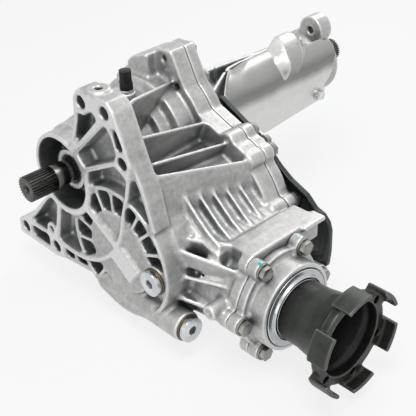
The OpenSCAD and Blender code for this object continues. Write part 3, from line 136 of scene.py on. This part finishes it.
class Shader:
    """A material's node tree, with a call for each kind of node used here."""

    def __init__(self, name, metallic=0.0, roughness=0.5, **sockets):
        self.material = bpy.data.materials.new(name)
        self.material.use_nodes = True
        self.tree = self.material.node_tree
        self.bsdf = self.tree.nodes["Principled BSDF"]
        self.bsdf.inputs["Metallic"].default_value = metallic
        self.bsdf.inputs["Roughness"].default_value = roughness
        for socket, value in sockets.items():
            self.bsdf.inputs[socket.replace("_", " ")].default_value = value
        self.place = self.node("ShaderNodeTexCoord").outputs["Object"]
        self.height = None

    def node(self, kind, **settings):
        """A new node with its settings made."""
        made = self.tree.nodes.new(kind)
        for key, value in settings.items():
            setattr(made, key, value)
        return made

    def link(self, source, socket):
        """Feeds a socket from another one, or sets it to a number or tuple."""
        if isinstance(source, (int, float, tuple)):
            socket.default_value = source
        else:
            self.tree.links.new(source, socket)

    def stretched(self, scale):
        """The place on the part, scaled by its own factor along each axis."""
        mapping = self.node("ShaderNodeMapping")
        mapping.inputs["Scale"].default_value = scale
        self.link(self.place, mapping.inputs["Vector"])
        return mapping.outputs["Vector"]

    def noise(self, scale, detail=3.0, roughness=0.5, distortion=0.0, vector=None):
        """Cloudy noise from 0 to 1, at a scale per metre."""
        made = self.node("ShaderNodeTexNoise")
        made.inputs["Scale"].default_value = scale
        made.inputs["Detail"].default_value = detail
        made.inputs["Roughness"].default_value = roughness
        made.inputs["Distortion"].default_value = distortion
        self.link(vector or self.place, made.inputs["Vector"])
        return made.outputs["Fac"]

    def ramp(self, value, *stops):
        """Maps a value to greys or colours at stops of (position, grey or colour)."""
        made = self.node("ShaderNodeValToRGB")
        elements = made.color_ramp.elements
        while len(elements) < len(stops):
            elements.new(0.5)
        for element, (position, colour) in zip(elements, stops):
            element.position = position
            grey = isinstance(colour, (int, float))
            element.color = (colour, colour, colour, 1) if grey else (*colour, 1)
        self.link(value, made.inputs["Fac"])
        return made.outputs["Color"]

    def maths(self, operation, a, b=0.0):
        """The result of one sum on numbers or sockets."""
        made = self.node("ShaderNodeMath", operation=operation)
        for value, socket in zip((a, b), made.inputs):
            self.link(value, socket)
        return made.outputs["Value"]

    def blend(self, factor, a, b, mode="MIX"):
        """Mixes two colours or greys by a factor."""
        made = self.node("ShaderNodeMix", data_type="RGBA", blend_type=mode)
        self.link(factor, made.inputs["Factor"])
        for value, socket in ((a, made.inputs[6]), (b, made.inputs[7])):
            if isinstance(value, (int, float)):
                value = (value, value, value)
            self.link((*value, 1) if isinstance(value, tuple) else value, socket)
        return made.outputs[2]

    def parts(self, vector):
        """The three parts of a vector."""
        made = self.node("ShaderNodeSeparateXYZ")
        self.link(vector, made.inputs["Vector"])
        return made.outputs

    def bump(self, height, distance, strength):
        """Adds small relief, over the relief that is there already."""
        made = self.node("ShaderNodeBump")
        made.inputs["Distance"].default_value = distance
        made.inputs["Strength"].default_value = strength
        self.link(height, made.inputs["Height"])
        if self.height is not None:
            self.link(self.height, made.inputs["Normal"])
        self.height = made.outputs["Normal"]

    def hollow(self, distance):
        """1 in the open and less in corners and pockets."""
        made = self.node("ShaderNodeAmbientOcclusion", samples=8)
        made.inputs["Distance"].default_value = distance
        return made.outputs["AO"]

    def edge(self):
        """Rises above 0.5 on outer edges and falls below it in inner ones."""
        return self.node("ShaderNodeNewGeometry").outputs["Pointiness"]

    def done(self, colour, roughness):
        """Joins colour, roughness and relief to the surface and returns the material."""
        self.link(colour, self.bsdf.inputs["Base Color"])
        self.link(roughness, self.bsdf.inputs["Roughness"])
        self.link(self.height, self.bsdf.inputs["Normal"])
        return self.material


# Materials

def near_ball(shader, at, radius, soft):
    """1 inside a ball at a place in millimetres, falling to 0 over the soft distance."""
    away = shader.node("ShaderNodeVectorMath", operation="DISTANCE")
    shader.link(shader.place, away.inputs[0])
    away.inputs[1].default_value = [v * MM for v in at]
    made = shader.node("ShaderNodeMapRange")
    made.inputs["From Min"].default_value = (radius + soft) * MM
    made.inputs["From Max"].default_value = radius * MM
    shader.link(away.outputs["Value"], made.inputs["Value"])
    return made.outputs["Result"]


def faces_along(shader, axis, sign, limit=0.97):
    """1 where the surface faces along an axis."""
    normal = shader.node("ShaderNodeTexCoord").outputs["Normal"]
    part = shader.parts(normal)[axis]
    return shader.maths("GREATER_THAN", shader.maths("MULTIPLY", part, sign), limit)


def cast_aluminium(name, machined=None, marks=(), bore=None):
    """Die cast aluminium: satin skin with flow marks, painted shade in pockets and corners, and
    outer edges painted lighter as burnish and highlight.
    """
    s = Shader(name, metallic=0.78, roughness=0.42)
    mottle = s.noise(34, 5, 0.6, 0.6)
    flow = s.noise(1, 4, 0.55, 0.4, s.stretched((30, 110, 110)))
    grain = s.noise(1500, 2, 0.7)
    lumps = s.noise(150, 3, 0.5)
    speck = s.noise(240, 5, 0.65)
    skin = s.ramp(mottle, (0.3, (0.37, 0.368, 0.362)), (0.7, (0.545, 0.54, 0.525)))
    skin = s.blend(0.28, skin, s.ramp(flow, (0.35, 0.30), (0.65, 0.62)))
    skin = s.blend(0.8, skin, s.ramp(speck, (0.34, 0.80), (0.66, 1.12)), "MULTIPLY")
    # Outer edges painted lighter, partly as burnish and partly as painted highlight.
    skin = s.blend(s.ramp(s.edge(), (0.5, 0.0), (0.55, 0.85)), skin, (0.78, 0.78, 0.77))
    # Painted shade: darker and bluer in pockets and corners, from ambient occlusion.
    depth = s.ramp(s.hollow(0.022), (0.1, (0.27, 0.29, 0.31)), (0.5, (0.70, 0.715, 0.73)),
                   (0.85, (1, 1, 1)))
    skin = s.blend(1.0, skin, depth, "MULTIPLY")
    rough = s.ramp(s.maths("ADD", mottle, s.maths("MULTIPLY", grain, 0.3)),
                   (0.4, 0.32), (0.9, 0.52))
    # Painted shade inside the pilot bore.
    if bore:
        skin = s.blend(bore(s), skin, s.blend(1.0, skin, (0.36, 0.37, 0.38), "MULTIPLY"))
    if machined:
        mask = machined(s)
        skin = s.blend(mask, skin, s.ramp(s.noise(400, 3), (0.3, 0.66), (0.7, 0.76)))
        rough = s.blend(mask, rough, 0.4)
    for at, radius, colour in marks:
        ragged = s.maths("MULTIPLY", near_ball(s, at, radius, 1.6),
                         s.ramp(s.noise(420, 3), (0.42, 0.0), (0.5, 1.0)))
        skin = s.blend(ragged, skin, colour)
    s.bump(lumps, 0.0006, 0.35)
    s.bump(grain, 0.00012, 0.5)
    return s.done(skin, rough)


def transmission_face(s):
    """The face rims and the bar across the cap are machined and face the transmission."""
    low = s.maths("LESS_THAN", s.parts(s.place)[0], FACE_RIM_DEPTH * MM)
    return s.maths("MULTIPLY", low, faces_along(s, 0, -1))


def pilot_bore(s):
    """1 inside the pilot bore around the input axis."""
    x, y, z = s.parts(s.place)
    away = s.maths("ADD", s.maths("MULTIPLY", y, y), s.maths("MULTIPLY", z, z))
    near = s.maths("LESS_THAN", away, (PILOT_BORE_R * MM) ** 2)
    return s.maths("MULTIPLY", near, s.maths("GREATER_THAN", x, 0.8 * MM))


def retainer_end(s):
    """The ring around the output seal is machined."""
    low = s.maths("LESS_THAN", s.parts(s.place)[1], RETAINER_FACE_Y * MM)
    return s.maths("MULTIPLY", low, faces_along(s, 1, -1))


def steel(name, dark, light, rough, ground=None):
    """Plated or oiled steel with a fine grain, small stains, rubbed edges and painted shade in
    corners.

    The function ground gives 1 where the steel is ground and lighter.
    """
    s = Shader(name, metallic=1.0, roughness=rough)
    stain = s.noise(90, 4, 0.6)
    fine = s.noise(1, 3, 0.6, 0.0, s.stretched((400, 1400, 1400)))
    tone = s.ramp(stain, (0.32, dark), (0.68, light))
    if ground:
        tone = s.blend(ground(s), tone, s.blend(1.0, tone, (1.6, 1.6, 1.58), "MULTIPLY"))
    tone = s.blend(s.ramp(s.edge(), (0.505, 0.0), (0.57, 0.6)), tone,
                   tuple(min(1, 1.5 * c) for c in light))
    # Painted shade in corners and gaps, from ambient occlusion.
    tone = s.blend(1.0, tone, s.ramp(s.hollow(0.006), (0.1, 0.45), (0.7, 1.0)), "MULTIPLY")
    rough_map = s.ramp(s.maths("ADD", stain, s.maths("MULTIPLY", fine, 0.5)),
                       (0.5, max(0.05, rough - 0.1)), (1.0, rough + 0.12))
    s.bump(fine, 0.00005, 0.25)
    return s.done(tone, rough_map)


def ground_shaft(s):
    """1 on the intermediate shaft between its splined ends."""
    x = s.parts(s.place)[0]
    return s.maths("MULTIPLY", s.maths("GREATER_THAN", x, SHAFT_GROUND_FROM * MM),
                   s.maths("LESS_THAN", x, SHAFT_GROUND_TO * MM))


def flange_coat(name):
    """Dark grey-green phosphated forging, with painted shade beside the seal and in its cup, where
    it is almost black.
    """
    s = Shader(name, metallic=0.55, roughness=0.38, Specular_IOR_Level=0.3)
    cloud = s.noise(55, 5, 0.6, 0.4)
    grain = s.noise(900, 3, 0.65)
    tone = s.ramp(cloud, (0.3, (0.032, 0.035, 0.031)), (0.72, (0.060, 0.064, 0.057)))
    tone = s.blend(s.ramp(s.edge(), (0.5, 0.0), (0.56, 0.7)), tone, (0.24, 0.245, 0.23))
    # Painted shade on the hub beside the seal, lightening with distance from it.
    down = s.maths("ADD", s.parts(s.place)[1], -FLANGE_HUB_Y * MM)
    seal_side_shade = s.maths("ADD", s.maths("MULTIPLY", down, -1 / (32 * MM)),
                   s.maths("MULTIPLY", s.maths("SUBTRACT", cloud, 0.5), 0.3))
    tone = s.blend(1.0, tone, s.ramp(seal_side_shade, (0.0, 0.3), (0.8, 1.0)), "MULTIPLY")
    # Painted shade in the cup and corners, from ambient occlusion.
    tone = s.blend(1.0, tone, s.ramp(s.hollow(0.07), (0.2, 0.12), (0.95, 1.0)), "MULTIPLY")
    rough = s.ramp(s.maths("ADD", cloud, s.maths("MULTIPLY", grain, 0.4)),
                   (0.45, 0.28), (0.95, 0.46))
    s.bump(s.noise(160, 4, 0.55), 0.0004, 0.3)
    s.bump(grain, 0.0001, 0.4)
    return s.done(tone, rough)


def bright_sheet(name):
    """Rolled aluminium sheet: satin, with rolling lines and scuffs; painted reflections make the
    skirt light and a band along the bend dark, and painted highlights sit on the bulge's flanks.
    """
    s = Shader(name, metallic=0.85, roughness=0.36)
    rolling = s.noise(1, 3, 0.6, 0.0, s.stretched((60, 60, 1400)))
    scuff = s.noise(45, 5, 0.65, 0.8)
    tone = s.ramp(scuff, (0.3, (0.66, 0.665, 0.64)), (0.7, (0.74, 0.745, 0.715)))
    # Painted reflections by height: the skirt is painted light, a band along the bend dark and the
    # top lighter again.
    height = s.parts(s.place)[2]
    bend = s.node("ShaderNodeMapRange")
    bend.inputs["From Min"].default_value = -5 * MM
    bend.inputs["From Max"].default_value = 60 * MM
    s.link(height, bend.inputs["Value"])
    wave = s.maths("ADD", bend.outputs["Result"],
                   s.maths("MULTIPLY", s.maths("SUBTRACT", s.noise(28, 2), 0.5), 0.12))
    shade = s.ramp(wave, (0.0, 1.0), (0.2, 0.96), (0.36, 0.38), (0.48, 0.33),
                   (0.62, 0.5), (0.82, 0.58), (1.0, 0.68))
    # Painted highlights on the bulge's flanks, where the surface leans along X, above the skirt.
    lean = s.maths("ABSOLUTE", s.parts(s.node("ShaderNodeTexCoord").outputs["Normal"])[0])
    high = s.maths("GREATER_THAN", height, 6 * MM)
    flank_highlight = s.ramp(s.maths("ADD", lean, s.maths("MULTIPLY", s.noise(70, 3), 0.2)),
                    (0.34, 0.0), (0.5, 0.85))
    flank = s.maths("MULTIPLY", flank_highlight, high)
    tone = s.blend(1.0, tone, s.blend(flank, shade, 1.0), "MULTIPLY")
    rough = s.ramp(s.maths("ADD", scuff, s.maths("MULTIPLY", rolling, 0.5)),
                   (0.45, 0.28), (1.0, 0.44))
    s.bump(rolling, 0.00003, 0.3)
    return s.done(tone, rough)


def dark_sheet(name):
    """Coated steel sheet, near black with a dull shine."""
    s = Shader(name, metallic=0.1, roughness=0.36, Specular_IOR_Level=0.45)
    cloud = s.noise(60, 4, 0.6)
    tone = s.ramp(cloud, (0.3, (0.024, 0.030, 0.027)), (0.7, (0.042, 0.052, 0.046)))
    tone = s.blend(s.ramp(s.edge(), (0.52, 0.0), (0.62, 0.4)), tone, (0.10, 0.14, 0.12))
    s.bump(s.noise(700, 3, 0.6), 0.0001, 0.4)
    rough = s.ramp(cloud, (0.3, 0.28), (0.7, 0.44))
    return s.done(tone, rough)


def soft_black(name, tone_low, tone_high, rough, grain_scale):
    """Moulded plastic or rubber."""
    s = Shader(name, metallic=0.0, roughness=rough, Specular_IOR_Level=0.25)
    cloud = s.noise(120, 4, 0.6)
    tone = s.ramp(cloud, (0.3, tone_low), (0.7, tone_high))
    tone = s.blend(s.ramp(s.edge(), (0.51, 0.0), (0.6, 0.5)), tone, 3 * tone_high)
    s.bump(s.noise(grain_scale, 3, 0.6), 0.00012, 0.5)
    return s.done(tone, s.ramp(cloud, (0.3, rough - 0.08), (0.7, rough + 0.08)))


# Dabs of assembly paint on the retainer, as (place, radius, colour)
TEAL = (0.02, 0.42, 0.36)
PAINT_DABS = (((115.3, -224.6, -30.8), 2.8, TEAL), ((55.5, -223, -27.5), 2.6, TEAL),
              ((62.2, -224, -32.8), 2.4, TEAL))

# One for a node or, under its slot's name, for every node in that slot
MATERIALS = {
    "main_housing": cast_aluminium("cast_housing", machined=transmission_face, bore=pilot_bore),
    "right_cover": cast_aluminium("cast_cover"),
    "extension_housing": cast_aluminium("cast_extension"),
    "bearing_retainer": cast_aluminium("cast_retainer", machined=retainer_end,
                                       marks=PAINT_DABS),
    "bright_sheet": bright_sheet("bright_sheet"),
    "dark_sheet": dark_sheet("dark_sheet"),
    "zinc_steel": steel("zinc_plate", (0.40, 0.42, 0.43), (0.56, 0.58, 0.59), 0.26),
    "bolt_steel": steel("bolt_coat", (0.15, 0.15, 0.142), (0.26, 0.26, 0.245), 0.42),
    "sealing_washer": steel("washer_alloy", (0.055, 0.045, 0.03), (0.11, 0.09, 0.055), 0.42),
    "seal_rubber": soft_black("seal_rubber", 0.018, 0.03, 0.5, 900),
    "black_plastic": soft_black("cap_plastic", 0.006, 0.012, 0.40, 1400),
    "bearing_steel": steel("bearing_steel", (0.55, 0.56, 0.57), (0.68, 0.69, 0.70), 0.18),
    "gear_steel": steel("gear_steel", (0.34, 0.34, 0.35), (0.46, 0.46, 0.46), 0.34),
    "dark_shaft": steel("oiled_shaft", (0.05, 0.05, 0.047), (0.085, 0.084, 0.08), 0.26,
                        ground=ground_shaft),
    "flange_iron": flange_coat("flange_coat"),
    "magnet": soft_black("magnet", 0.05, 0.08, 0.4, 600),
}


def material_of(node):
    """The node's own material, or else its slot's."""
    return MATERIALS.get(node) or MATERIALS[SLOTS[node]]


# Meshes

def new_piece(name, data):
    """An object in the scene that shows a mesh, a lamp or a camera."""
    piece = bpy.data.objects.new(name, data)
    bpy.context.scene.collection.objects.link(piece)
    return piece


def welded_copy(name, node):
    """A copy of a node's mesh, with the seams between its faces joined."""
    work = bmesh.new()
    work.from_mesh(frame["nodes"][node].data)
    bmesh.ops.remove_doubles(work, verts=work.verts, dist=0.002 * MM)
    data = bpy.data.meshes.new(name)
    work.to_mesh(data)
    work.free()
    return new_piece(name, data)


def apply_modifiers(piece):
    """Puts the modified mesh in place of the piece's own."""
    graph = bpy.context.evaluated_depsgraph_get()
    made = bpy.data.meshes.new_from_object(piece.evaluated_get(graph))
    old = piece.data
    piece.modifiers.clear()
    piece.data = made
    bpy.data.meshes.remove(old)


def remesh(piece, voxel):
    """Rebuilds the mesh on a voxel grid."""
    modifier = piece.modifiers.new("remesh", "REMESH")
    modifier.mode = "VOXEL"
    modifier.voxel_size = voxel
    apply_modifiers(piece)


def points_of(piece):
    """The mesh's points as rows of X, Y and Z."""
    flat = np.empty(len(piece.data.vertices) * 3)
    piece.data.vertices.foreach_get("co", flat)
    return flat.reshape(-1, 3)


def set_points(piece, points):
    """Moves the mesh's points to new places."""
    piece.data.vertices.foreach_set("co", points.ravel())
    piece.data.update()


def swell(piece, distance):
    """Moves every point along its normal."""
    normals = np.empty(len(piece.data.vertices) * 3)
    piece.data.vertices.foreach_get("normal", normals)
    set_points(piece, points_of(piece) + distance * normals.reshape(-1, 3))


def relax(piece, rounds, held=None):
    """Smooths a mesh. A function of the points may hold some of them where they are."""
    before = points_of(piece)
    modifier = piece.modifiers.new("relax", "SMOOTH")
    modifier.factor = 0.5
    modifier.iterations = rounds
    apply_modifiers(piece)
    if held is not None:
        after = points_of(piece)
        stay = held(before)[:, None]
        set_points(piece, np.where(stay, before, after))


def shade_smooth(piece):
    """Shades every face smooth."""
    piece.data.polygons.foreach_set("use_smooth", [True] * len(piece.data.polygons))


def thin_out(piece, faces):
    """Brings a dense mesh down to a number of triangles."""
    triangles = sum(len(face.vertices) - 2 for face in piece.data.polygons)
    if triangles > faces:
        modifier = piece.modifiers.new("thin", "DECIMATE")
        modifier.ratio = faces / triangles
        apply_modifiers(piece)


def cast_skin(node, voxel, fillet, rounds, faces, held=None, shaped=None):
    """A casting's skin: inner corners filled with a fillet and outer edges eased."""
    piece = welded_copy(node + "_skin", node)
    remesh(piece, voxel)
    if fillet:
        swell(piece, fillet)
        remesh(piece, voxel)
        swell(piece, -fillet)
        remesh(piece, voxel)
    relax(piece, rounds, held)
    if shaped:
        set_points(piece, shaped(points_of(piece)))
    thin_out(piece, faces)
    shade_smooth(piece)
    modifier = piece.modifiers.new("flat faces", "WEIGHTED_NORMAL")
    modifier.weight = 60
    piece.data.materials.append(material_of(node))
    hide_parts(node)
    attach(piece, frame["nodes"][node]["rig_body"])


def dress(node, bevel):
    """A CAD node that keeps its mesh gets eased edges and its finish."""
    shape = frame["nodes"][node]
    weld = shape.modifiers.new("weld", "WELD")
    weld.merge_threshold = 0.002 * MM
    if bevel:
        ease = shape.modifiers.new("edges", "BEVEL")
        ease.width = bevel * MM
        ease.segments = 2
        ease.angle_limit = math.radians(35)
        ease.harden_normals = True
    shape.data.materials.clear()
    shape.data.materials.append(material_of(node))
    shade_smooth(shape)


def on_face(points):
    """Points of the housing on the machined transmission face."""
    return points[:, 0] < 0.35 * MM


def away_from(points, corners):
    """Distance in Y and Z from points to a line through corners, all in millimetres."""
    flat = points[:, 1:] / MM
    best = np.full(len(flat), 1e9)
    for start, end in zip(corners, corners[1:]):
        start, along = np.array(start, float), np.subtract(end, start)
        share = np.clip((flat - start) @ along / (along @ along), 0, 1)
        gap = np.linalg.norm(flat - start - share[:, None] * along, axis=1)
        best = np.minimum(best, gap)
    return best


def stamped(points):
    """The rear shield's points with its bead raised and its field sunk."""
    gap = away_from(points, REAR_EDGE)
    bead = BEAD_H * MM * np.exp(-((gap - BEAD_FROM_EDGE) / BEAD_HALF) ** 2)
    sunk = FIELD_DEPTH * MM * np.clip((gap - FIELD_FROM_EDGE) / FIELD_SLOPE, 0, 1)
    moved = points.copy()
    moved[:, 0] += bead - sunk * (gap < 60)
    return moved


SKINS = {
    "main_housing": dict(voxel=1.25 * MM, fillet=2.0 * MM, rounds=3, faces=196000,
                         held=on_face),
    "right_cover": dict(voxel=1.3 * MM, fillet=2.0 * MM, rounds=3, faces=110000),
    "extension_housing": dict(voxel=1.1 * MM, fillet=2.0 * MM, rounds=3, faces=90000),
    "bearing_retainer": dict(voxel=0.9 * MM, fillet=1.6 * MM, rounds=3, faces=110000),
    "output_flange": dict(voxel=0.8 * MM, fillet=1.2 * MM, rounds=3, faces=120000),
    "rear_shield": dict(voxel=0.8 * MM, fillet=1.6 * MM, rounds=5, faces=60000,
                        shaped=stamped),
}
BEVELS = {"retainer_bolts": 0.5, "cover_bolts": 0.5, "extension_bolts": 0.4,
          "rear_shield_bolts": 0.4, "heat_shield_bolts": 0.4, "fill_plug": 0.6,
          "drain_plug": 0.6, "vent_cap": 0.5, "vent_fitting": 0.4, "intermediate_shaft": 0.25}


def turned(name, node, profile, place, steps=160):
    """A piece of a node, turned from a closed profile of (radius, depth).

    The function place gives the point at two radial measures and a depth.
    """
    count = len(profile)
    points = []
    for step in range(steps):
        turn = 2 * math.pi * step / steps
        points += [place(radius * math.cos(turn), radius * math.sin(turn), depth) * MM
                   for radius, depth in profile]
    faces = []
    for step in range(steps):
        here, there = step * count, (step + 1) % steps * count
        faces += [(here + i, here + (i + 1) % count, there + (i + 1) % count, there + i)
                  for i in range(count)]
    data = bpy.data.meshes.new(name)
    data.from_pydata(points, [], faces)
    piece = new_piece(name, data)
    face_outward(data)
    shade_smooth(piece)
    piece.data.materials.append(material_of(node))
    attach(piece, frame["nodes"][node]["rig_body"])
    return piece


def face_outward(data):
    """Turns every face of a closed mesh outward."""
    work = bmesh.new()
    work.from_mesh(data)
    bmesh.ops.recalc_face_normals(work, faces=work.faces)
    work.to_mesh(data)
    work.free()


def ridge_height(radius):
    """Height of the dust shield's round ridges at a radius."""
    return sum(height * math.cos(min(1, abs(radius - middle) / half) * math.pi / 2) ** 2
               for middle, half, height in RIDGES)


def dust_shield():
    """The pressed ring in the retainer's end: a flat rim and two round ridges."""
    front = [(radius, RING_FACE + ridge_height(radius))
             for radius in np.arange(RING_R - RING_STEP, RING_HUB_R + 0.1, -RING_STEP)]
    profile = [(RING_R, RING_FACE - RING_STEP), *front, (RING_HUB_R, RING_BACK), (RING_R, RING_BACK)]
    piece = turned("dust_shield_ring", "dust_shield", profile, lambda along, up, depth:
                   Vector((PINION_X + along, -depth, PINION_Z + up)))
    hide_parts("dust_shield")


def shaft_sleeve():
    """The ground surface of the intermediate shaft, from its left spline into the bore."""
    inner = SLEEVE_R - 0.36
    profile = [(inner, SLEEVE_FROM), (SLEEVE_R, SLEEVE_FROM + SLEEVE_EASE),
               (SLEEVE_R, SLEEVE_TO - SLEEVE_EASE), (inner, SLEEVE_TO)]
    turned("shaft_ground", "intermediate_shaft", profile, lambda along, up, depth:
           Vector((depth, along, up)), 128)


def smooth_step(value, start, end):
    """Rises from 0 at the start to 1 at the end, level at both."""
    share = np.clip((value - start) / (end - start), 0, 1)
    return share * share * (3 - 2 * share)


def at_corners(value, corners):
    """The height at a value of a line through corners."""
    return np.interp(value, *zip(*corners))


def shield_ends(y, z, turn):
    """X of the sheet's left and right ends, on the skirt or at a turn of the bend."""
    if turn == 0:
        return at_corners(z, SKIRT_LEFT), at_corners(z, SKIRT_RIGHT)
    left = max(SKIRT_LEFT[-1][1], at_corners(y, BEND_LEFT))
    narrowing = 18 * smooth_step(turn, 0.55, 1.1)
    notch = NOTCH_DEPTH * smooth_step(turn, NOTCH_TURN - 0.05, NOTCH_TURN + 0.05)
    return left, BEND_RIGHT - narrowing - notch


def bulge(x, past_bend):
    """The bulge's rise off the sheet. It narrows down to its lower end."""
    up = smooth_step(past_bend, 0, 24)
    top = smooth_step(past_bend, 20, 38)

    def flank(places):
        low, middle, high = places
        return low + (middle - low) * up + (high - middle) * top

    rise = smooth_step(x, flank(RISE_FROM), flank(RISE_TO))
    fall = smooth_step(x, flank(FALL_FROM), flank(FALL_TO))
    height = BULGE_H + (BULGE_TOP_H - BULGE_H) * top
    return height * rise * (1 - fall) * smooth_step(past_bend, -5, 17)


def left_end(past_left, past_bend):
    """The sheet sinks toward its left end, where a lip stands up again."""
    sunk = 4.5 * (1 - smooth_step(past_left, 4, 34)) * smooth_step(past_bend, -8, 16)
    lip = 2.5 * (1 - smooth_step(past_left, 0, 5)) * smooth_step(past_bend, -8, 10)
    return lip - sunk


def ripples(x, along, z):
    """Slight waves, with small creases by the left end and under the bulge."""
    near = sum(max(0.0, 1 - math.hypot(x - at_x, z - at_z) / reach)
               for at_x, at_z, reach in CREASES)
    waves = 0.3 * noise.noise(Vector((x, along, 3)) / 23)
    creases = 0.4 * near * noise.noise(Vector((x, along * 1.5, 9)) / 5)
    return (waves + creases) * smooth_step(abs(z - SHIELD_BOLT_Z), 8, 16)


def heat_shield():
    """One stamped sheet: a flat skirt, a quarter turn over the tube and a rounded bulge."""
    skirt = SHIELD_Z - SHIELD_LOW
    length = skirt + SHIELD_R * math.pi / 2
    points = []
    for row in range(SHEET_ROWS):
        along = length * row / (SHEET_ROWS - 1)
        turn = max(0.0, along - skirt) / SHIELD_R
        out_y, out_z = -math.cos(turn), math.sin(turn)
        y = SHIELD_Y + SHIELD_R + SHIELD_R * out_y
        z = SHIELD_Z + SHIELD_R * out_z if turn else SHIELD_LOW + along
        left, right = shield_ends(y, z, turn)
        for column in range(SHEET_COLUMNS):
            x = left + (right - left) * column / (SHEET_COLUMNS - 1)
            lift = bulge(x, along - skirt) + left_end(x - left, along - skirt)
            lift += ripples(x, along, z)
            points.append((x * MM, (y + out_y * lift) * MM, (z + out_z * lift) * MM))
    faces = []
    for row in range(SHEET_ROWS - 1):
        for column in range(SHEET_COLUMNS - 1):
            here = row * SHEET_COLUMNS + column
            above = here + SHEET_COLUMNS
            faces.append((here, here + 1, above + 1, above))
    data = bpy.data.meshes.new("heat_shield_sheet")
    data.from_pydata(points, [], faces)
    piece = new_piece("heat_shield_sheet", data)
    sheet = piece.modifiers.new("thickness", "SOLIDIFY")
    sheet.thickness = SHIELD_T * MM
    sheet.offset = 1
    apply_modifiers(piece)
    shade_smooth(piece)
    piece.data.materials.append(material_of("heat_shield"))
    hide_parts("heat_shield")
    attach(piece, frame["nodes"]["heat_shield"]["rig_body"])


for node in frame["nodes"]:
    if node in SKINS:
        cast_skin(node, **SKINS[node])
    elif node == "heat_shield":
        heat_shield()
    elif node == "dust_shield":
        dust_shield()
    else:
        dress(node, BEVELS.get(node, 0))
shaft_sleeve()


# Studio

def camera():
    """The camera at the photo's angle, without depth of field."""
    azimuth, elevation, roll = (math.radians(a) for a in
                                (CAMERA_AZIMUTH, CAMERA_ELEVATION, CAMERA_ROLL))
    back = Vector((math.sin(azimuth) * math.cos(elevation),
                   -math.cos(azimuth) * math.cos(elevation), math.sin(elevation)))
    right = Vector((math.cos(azimuth), math.sin(azimuth), 0))
    up = back.cross(right)
    side = math.cos(roll) * right + math.sin(roll) * up
    top = math.cos(roll) * up - math.sin(roll) * right
    data = bpy.data.cameras.new("camera")
    data.sensor_width = SENSOR
    data.lens = SENSOR / 2 / math.tan(math.radians(CAMERA_HALF_ANGLE))
    data.clip_end = 20
    made = new_piece("camera", data)
    turn = Matrix((side, top, back)).transposed().to_4x4()
    made.matrix_world = Matrix.Translation(CAMERA_AT) @ turn
    bpy.context.scene.camera = made


def lamp(name, at, target, size, power):
    """A soft rectangular lamp that points at a target."""
    data = bpy.data.lights.new(name, "AREA")
    data.shape = "RECTANGLE"
    data.size, data.size_y = size
    data.energy = power
    made = new_piece(name, data)
    aim = (Vector(target) - Vector(at)).to_track_quat("-Z", "Y")
    made.matrix_world = Matrix.Translation(at) @ aim.to_matrix().to_4x4()


def seen_directly(tree):
    """1 for rays that see the backdrop itself, in the open, in gloss or through glass."""
    path = tree.nodes.new("ShaderNodeLightPath")
    total = path.outputs["Is Camera Ray"]
    for name in ("Is Glossy Ray", "Is Transmission Ray"):
        made = tree.nodes.new("ShaderNodeMath")
        made.operation = "MAXIMUM"
        tree.links.new(total, made.inputs[0])
        tree.links.new(path.outputs[name], made.inputs[1])
        total = made.outputs["Value"]
    return total


def world():
    """A white backdrop that lights the part as a dim grey one."""
    made = bpy.data.worlds.new("studio")
    bpy.context.scene.world = made
    made.use_nodes = True
    tree = made.node_tree
    background = tree.nodes["Background"]
    mix = tree.nodes.new("ShaderNodeMix")
    mix.data_type = "RGBA"
    mix.inputs[6].default_value = (0.37, 0.38, 0.40, 1)
    mix.inputs[7].default_value = (1, 1, 1, 1)
    tree.links.new(seen_directly(tree), mix.inputs["Factor"])
    tree.links.new(mix.outputs[2], background.inputs["Color"])


def floor():
    """A large pale floor that keeps a soft shadow under the part."""
    size = 6
    work = bmesh.new()
    bmesh.ops.create_grid(work, x_segments=8, y_segments=8, size=size / 2)
    data = bpy.data.meshes.new("floor")
    work.to_mesh(data)
    work.free()
    made = new_piece("floor", data)
    made.location = (0.15, -0.15, CAD_BOX[0].z - 0.5 * MM)
    paint = bpy.data.materials.new("floor_paint")
    paint.use_nodes = True
    tree = paint.node_tree
    tree.nodes.remove(tree.nodes["Principled BSDF"])
    output = tree.nodes["Material Output"]
    matt = tree.nodes.new("ShaderNodeBsdfDiffuse")
    matt.inputs["Color"].default_value = (0.85, 0.85, 0.85, 1)
    glow = tree.nodes.new("ShaderNodeEmission")
    mix = tree.nodes.new("ShaderNodeMixShader")
    share = tree.nodes.new("ShaderNodeMath")
    share.operation = "MULTIPLY"
    share.inputs[1].default_value = 0.8
    tree.links.new(seen_directly(tree), share.inputs[0])
    tree.links.new(share.outputs["Value"], mix.inputs["Fac"])
    tree.links.new(matt.outputs["BSDF"], mix.inputs[1])
    tree.links.new(glow.outputs["Emission"], mix.inputs[2])
    tree.links.new(mix.outputs["Shader"], output.inputs["Surface"])
    data.materials.append(paint)


camera()
world()
floor()
CENTRE = (0.13, -0.12, -0.02)
lamp("key", (-0.25, -0.45, 1.3), CENTRE, (0.7, 0.7), 10.5)
lamp("fill", (-1.3, -0.4, 0.35), CENTRE, (0.5, 0.8), 3)
lamp("rim", (1.1, 0.3, 0.9), CENTRE, (0.5, 0.8), 4)
bpy.context.scene.view_settings.view_transform = "Standard"
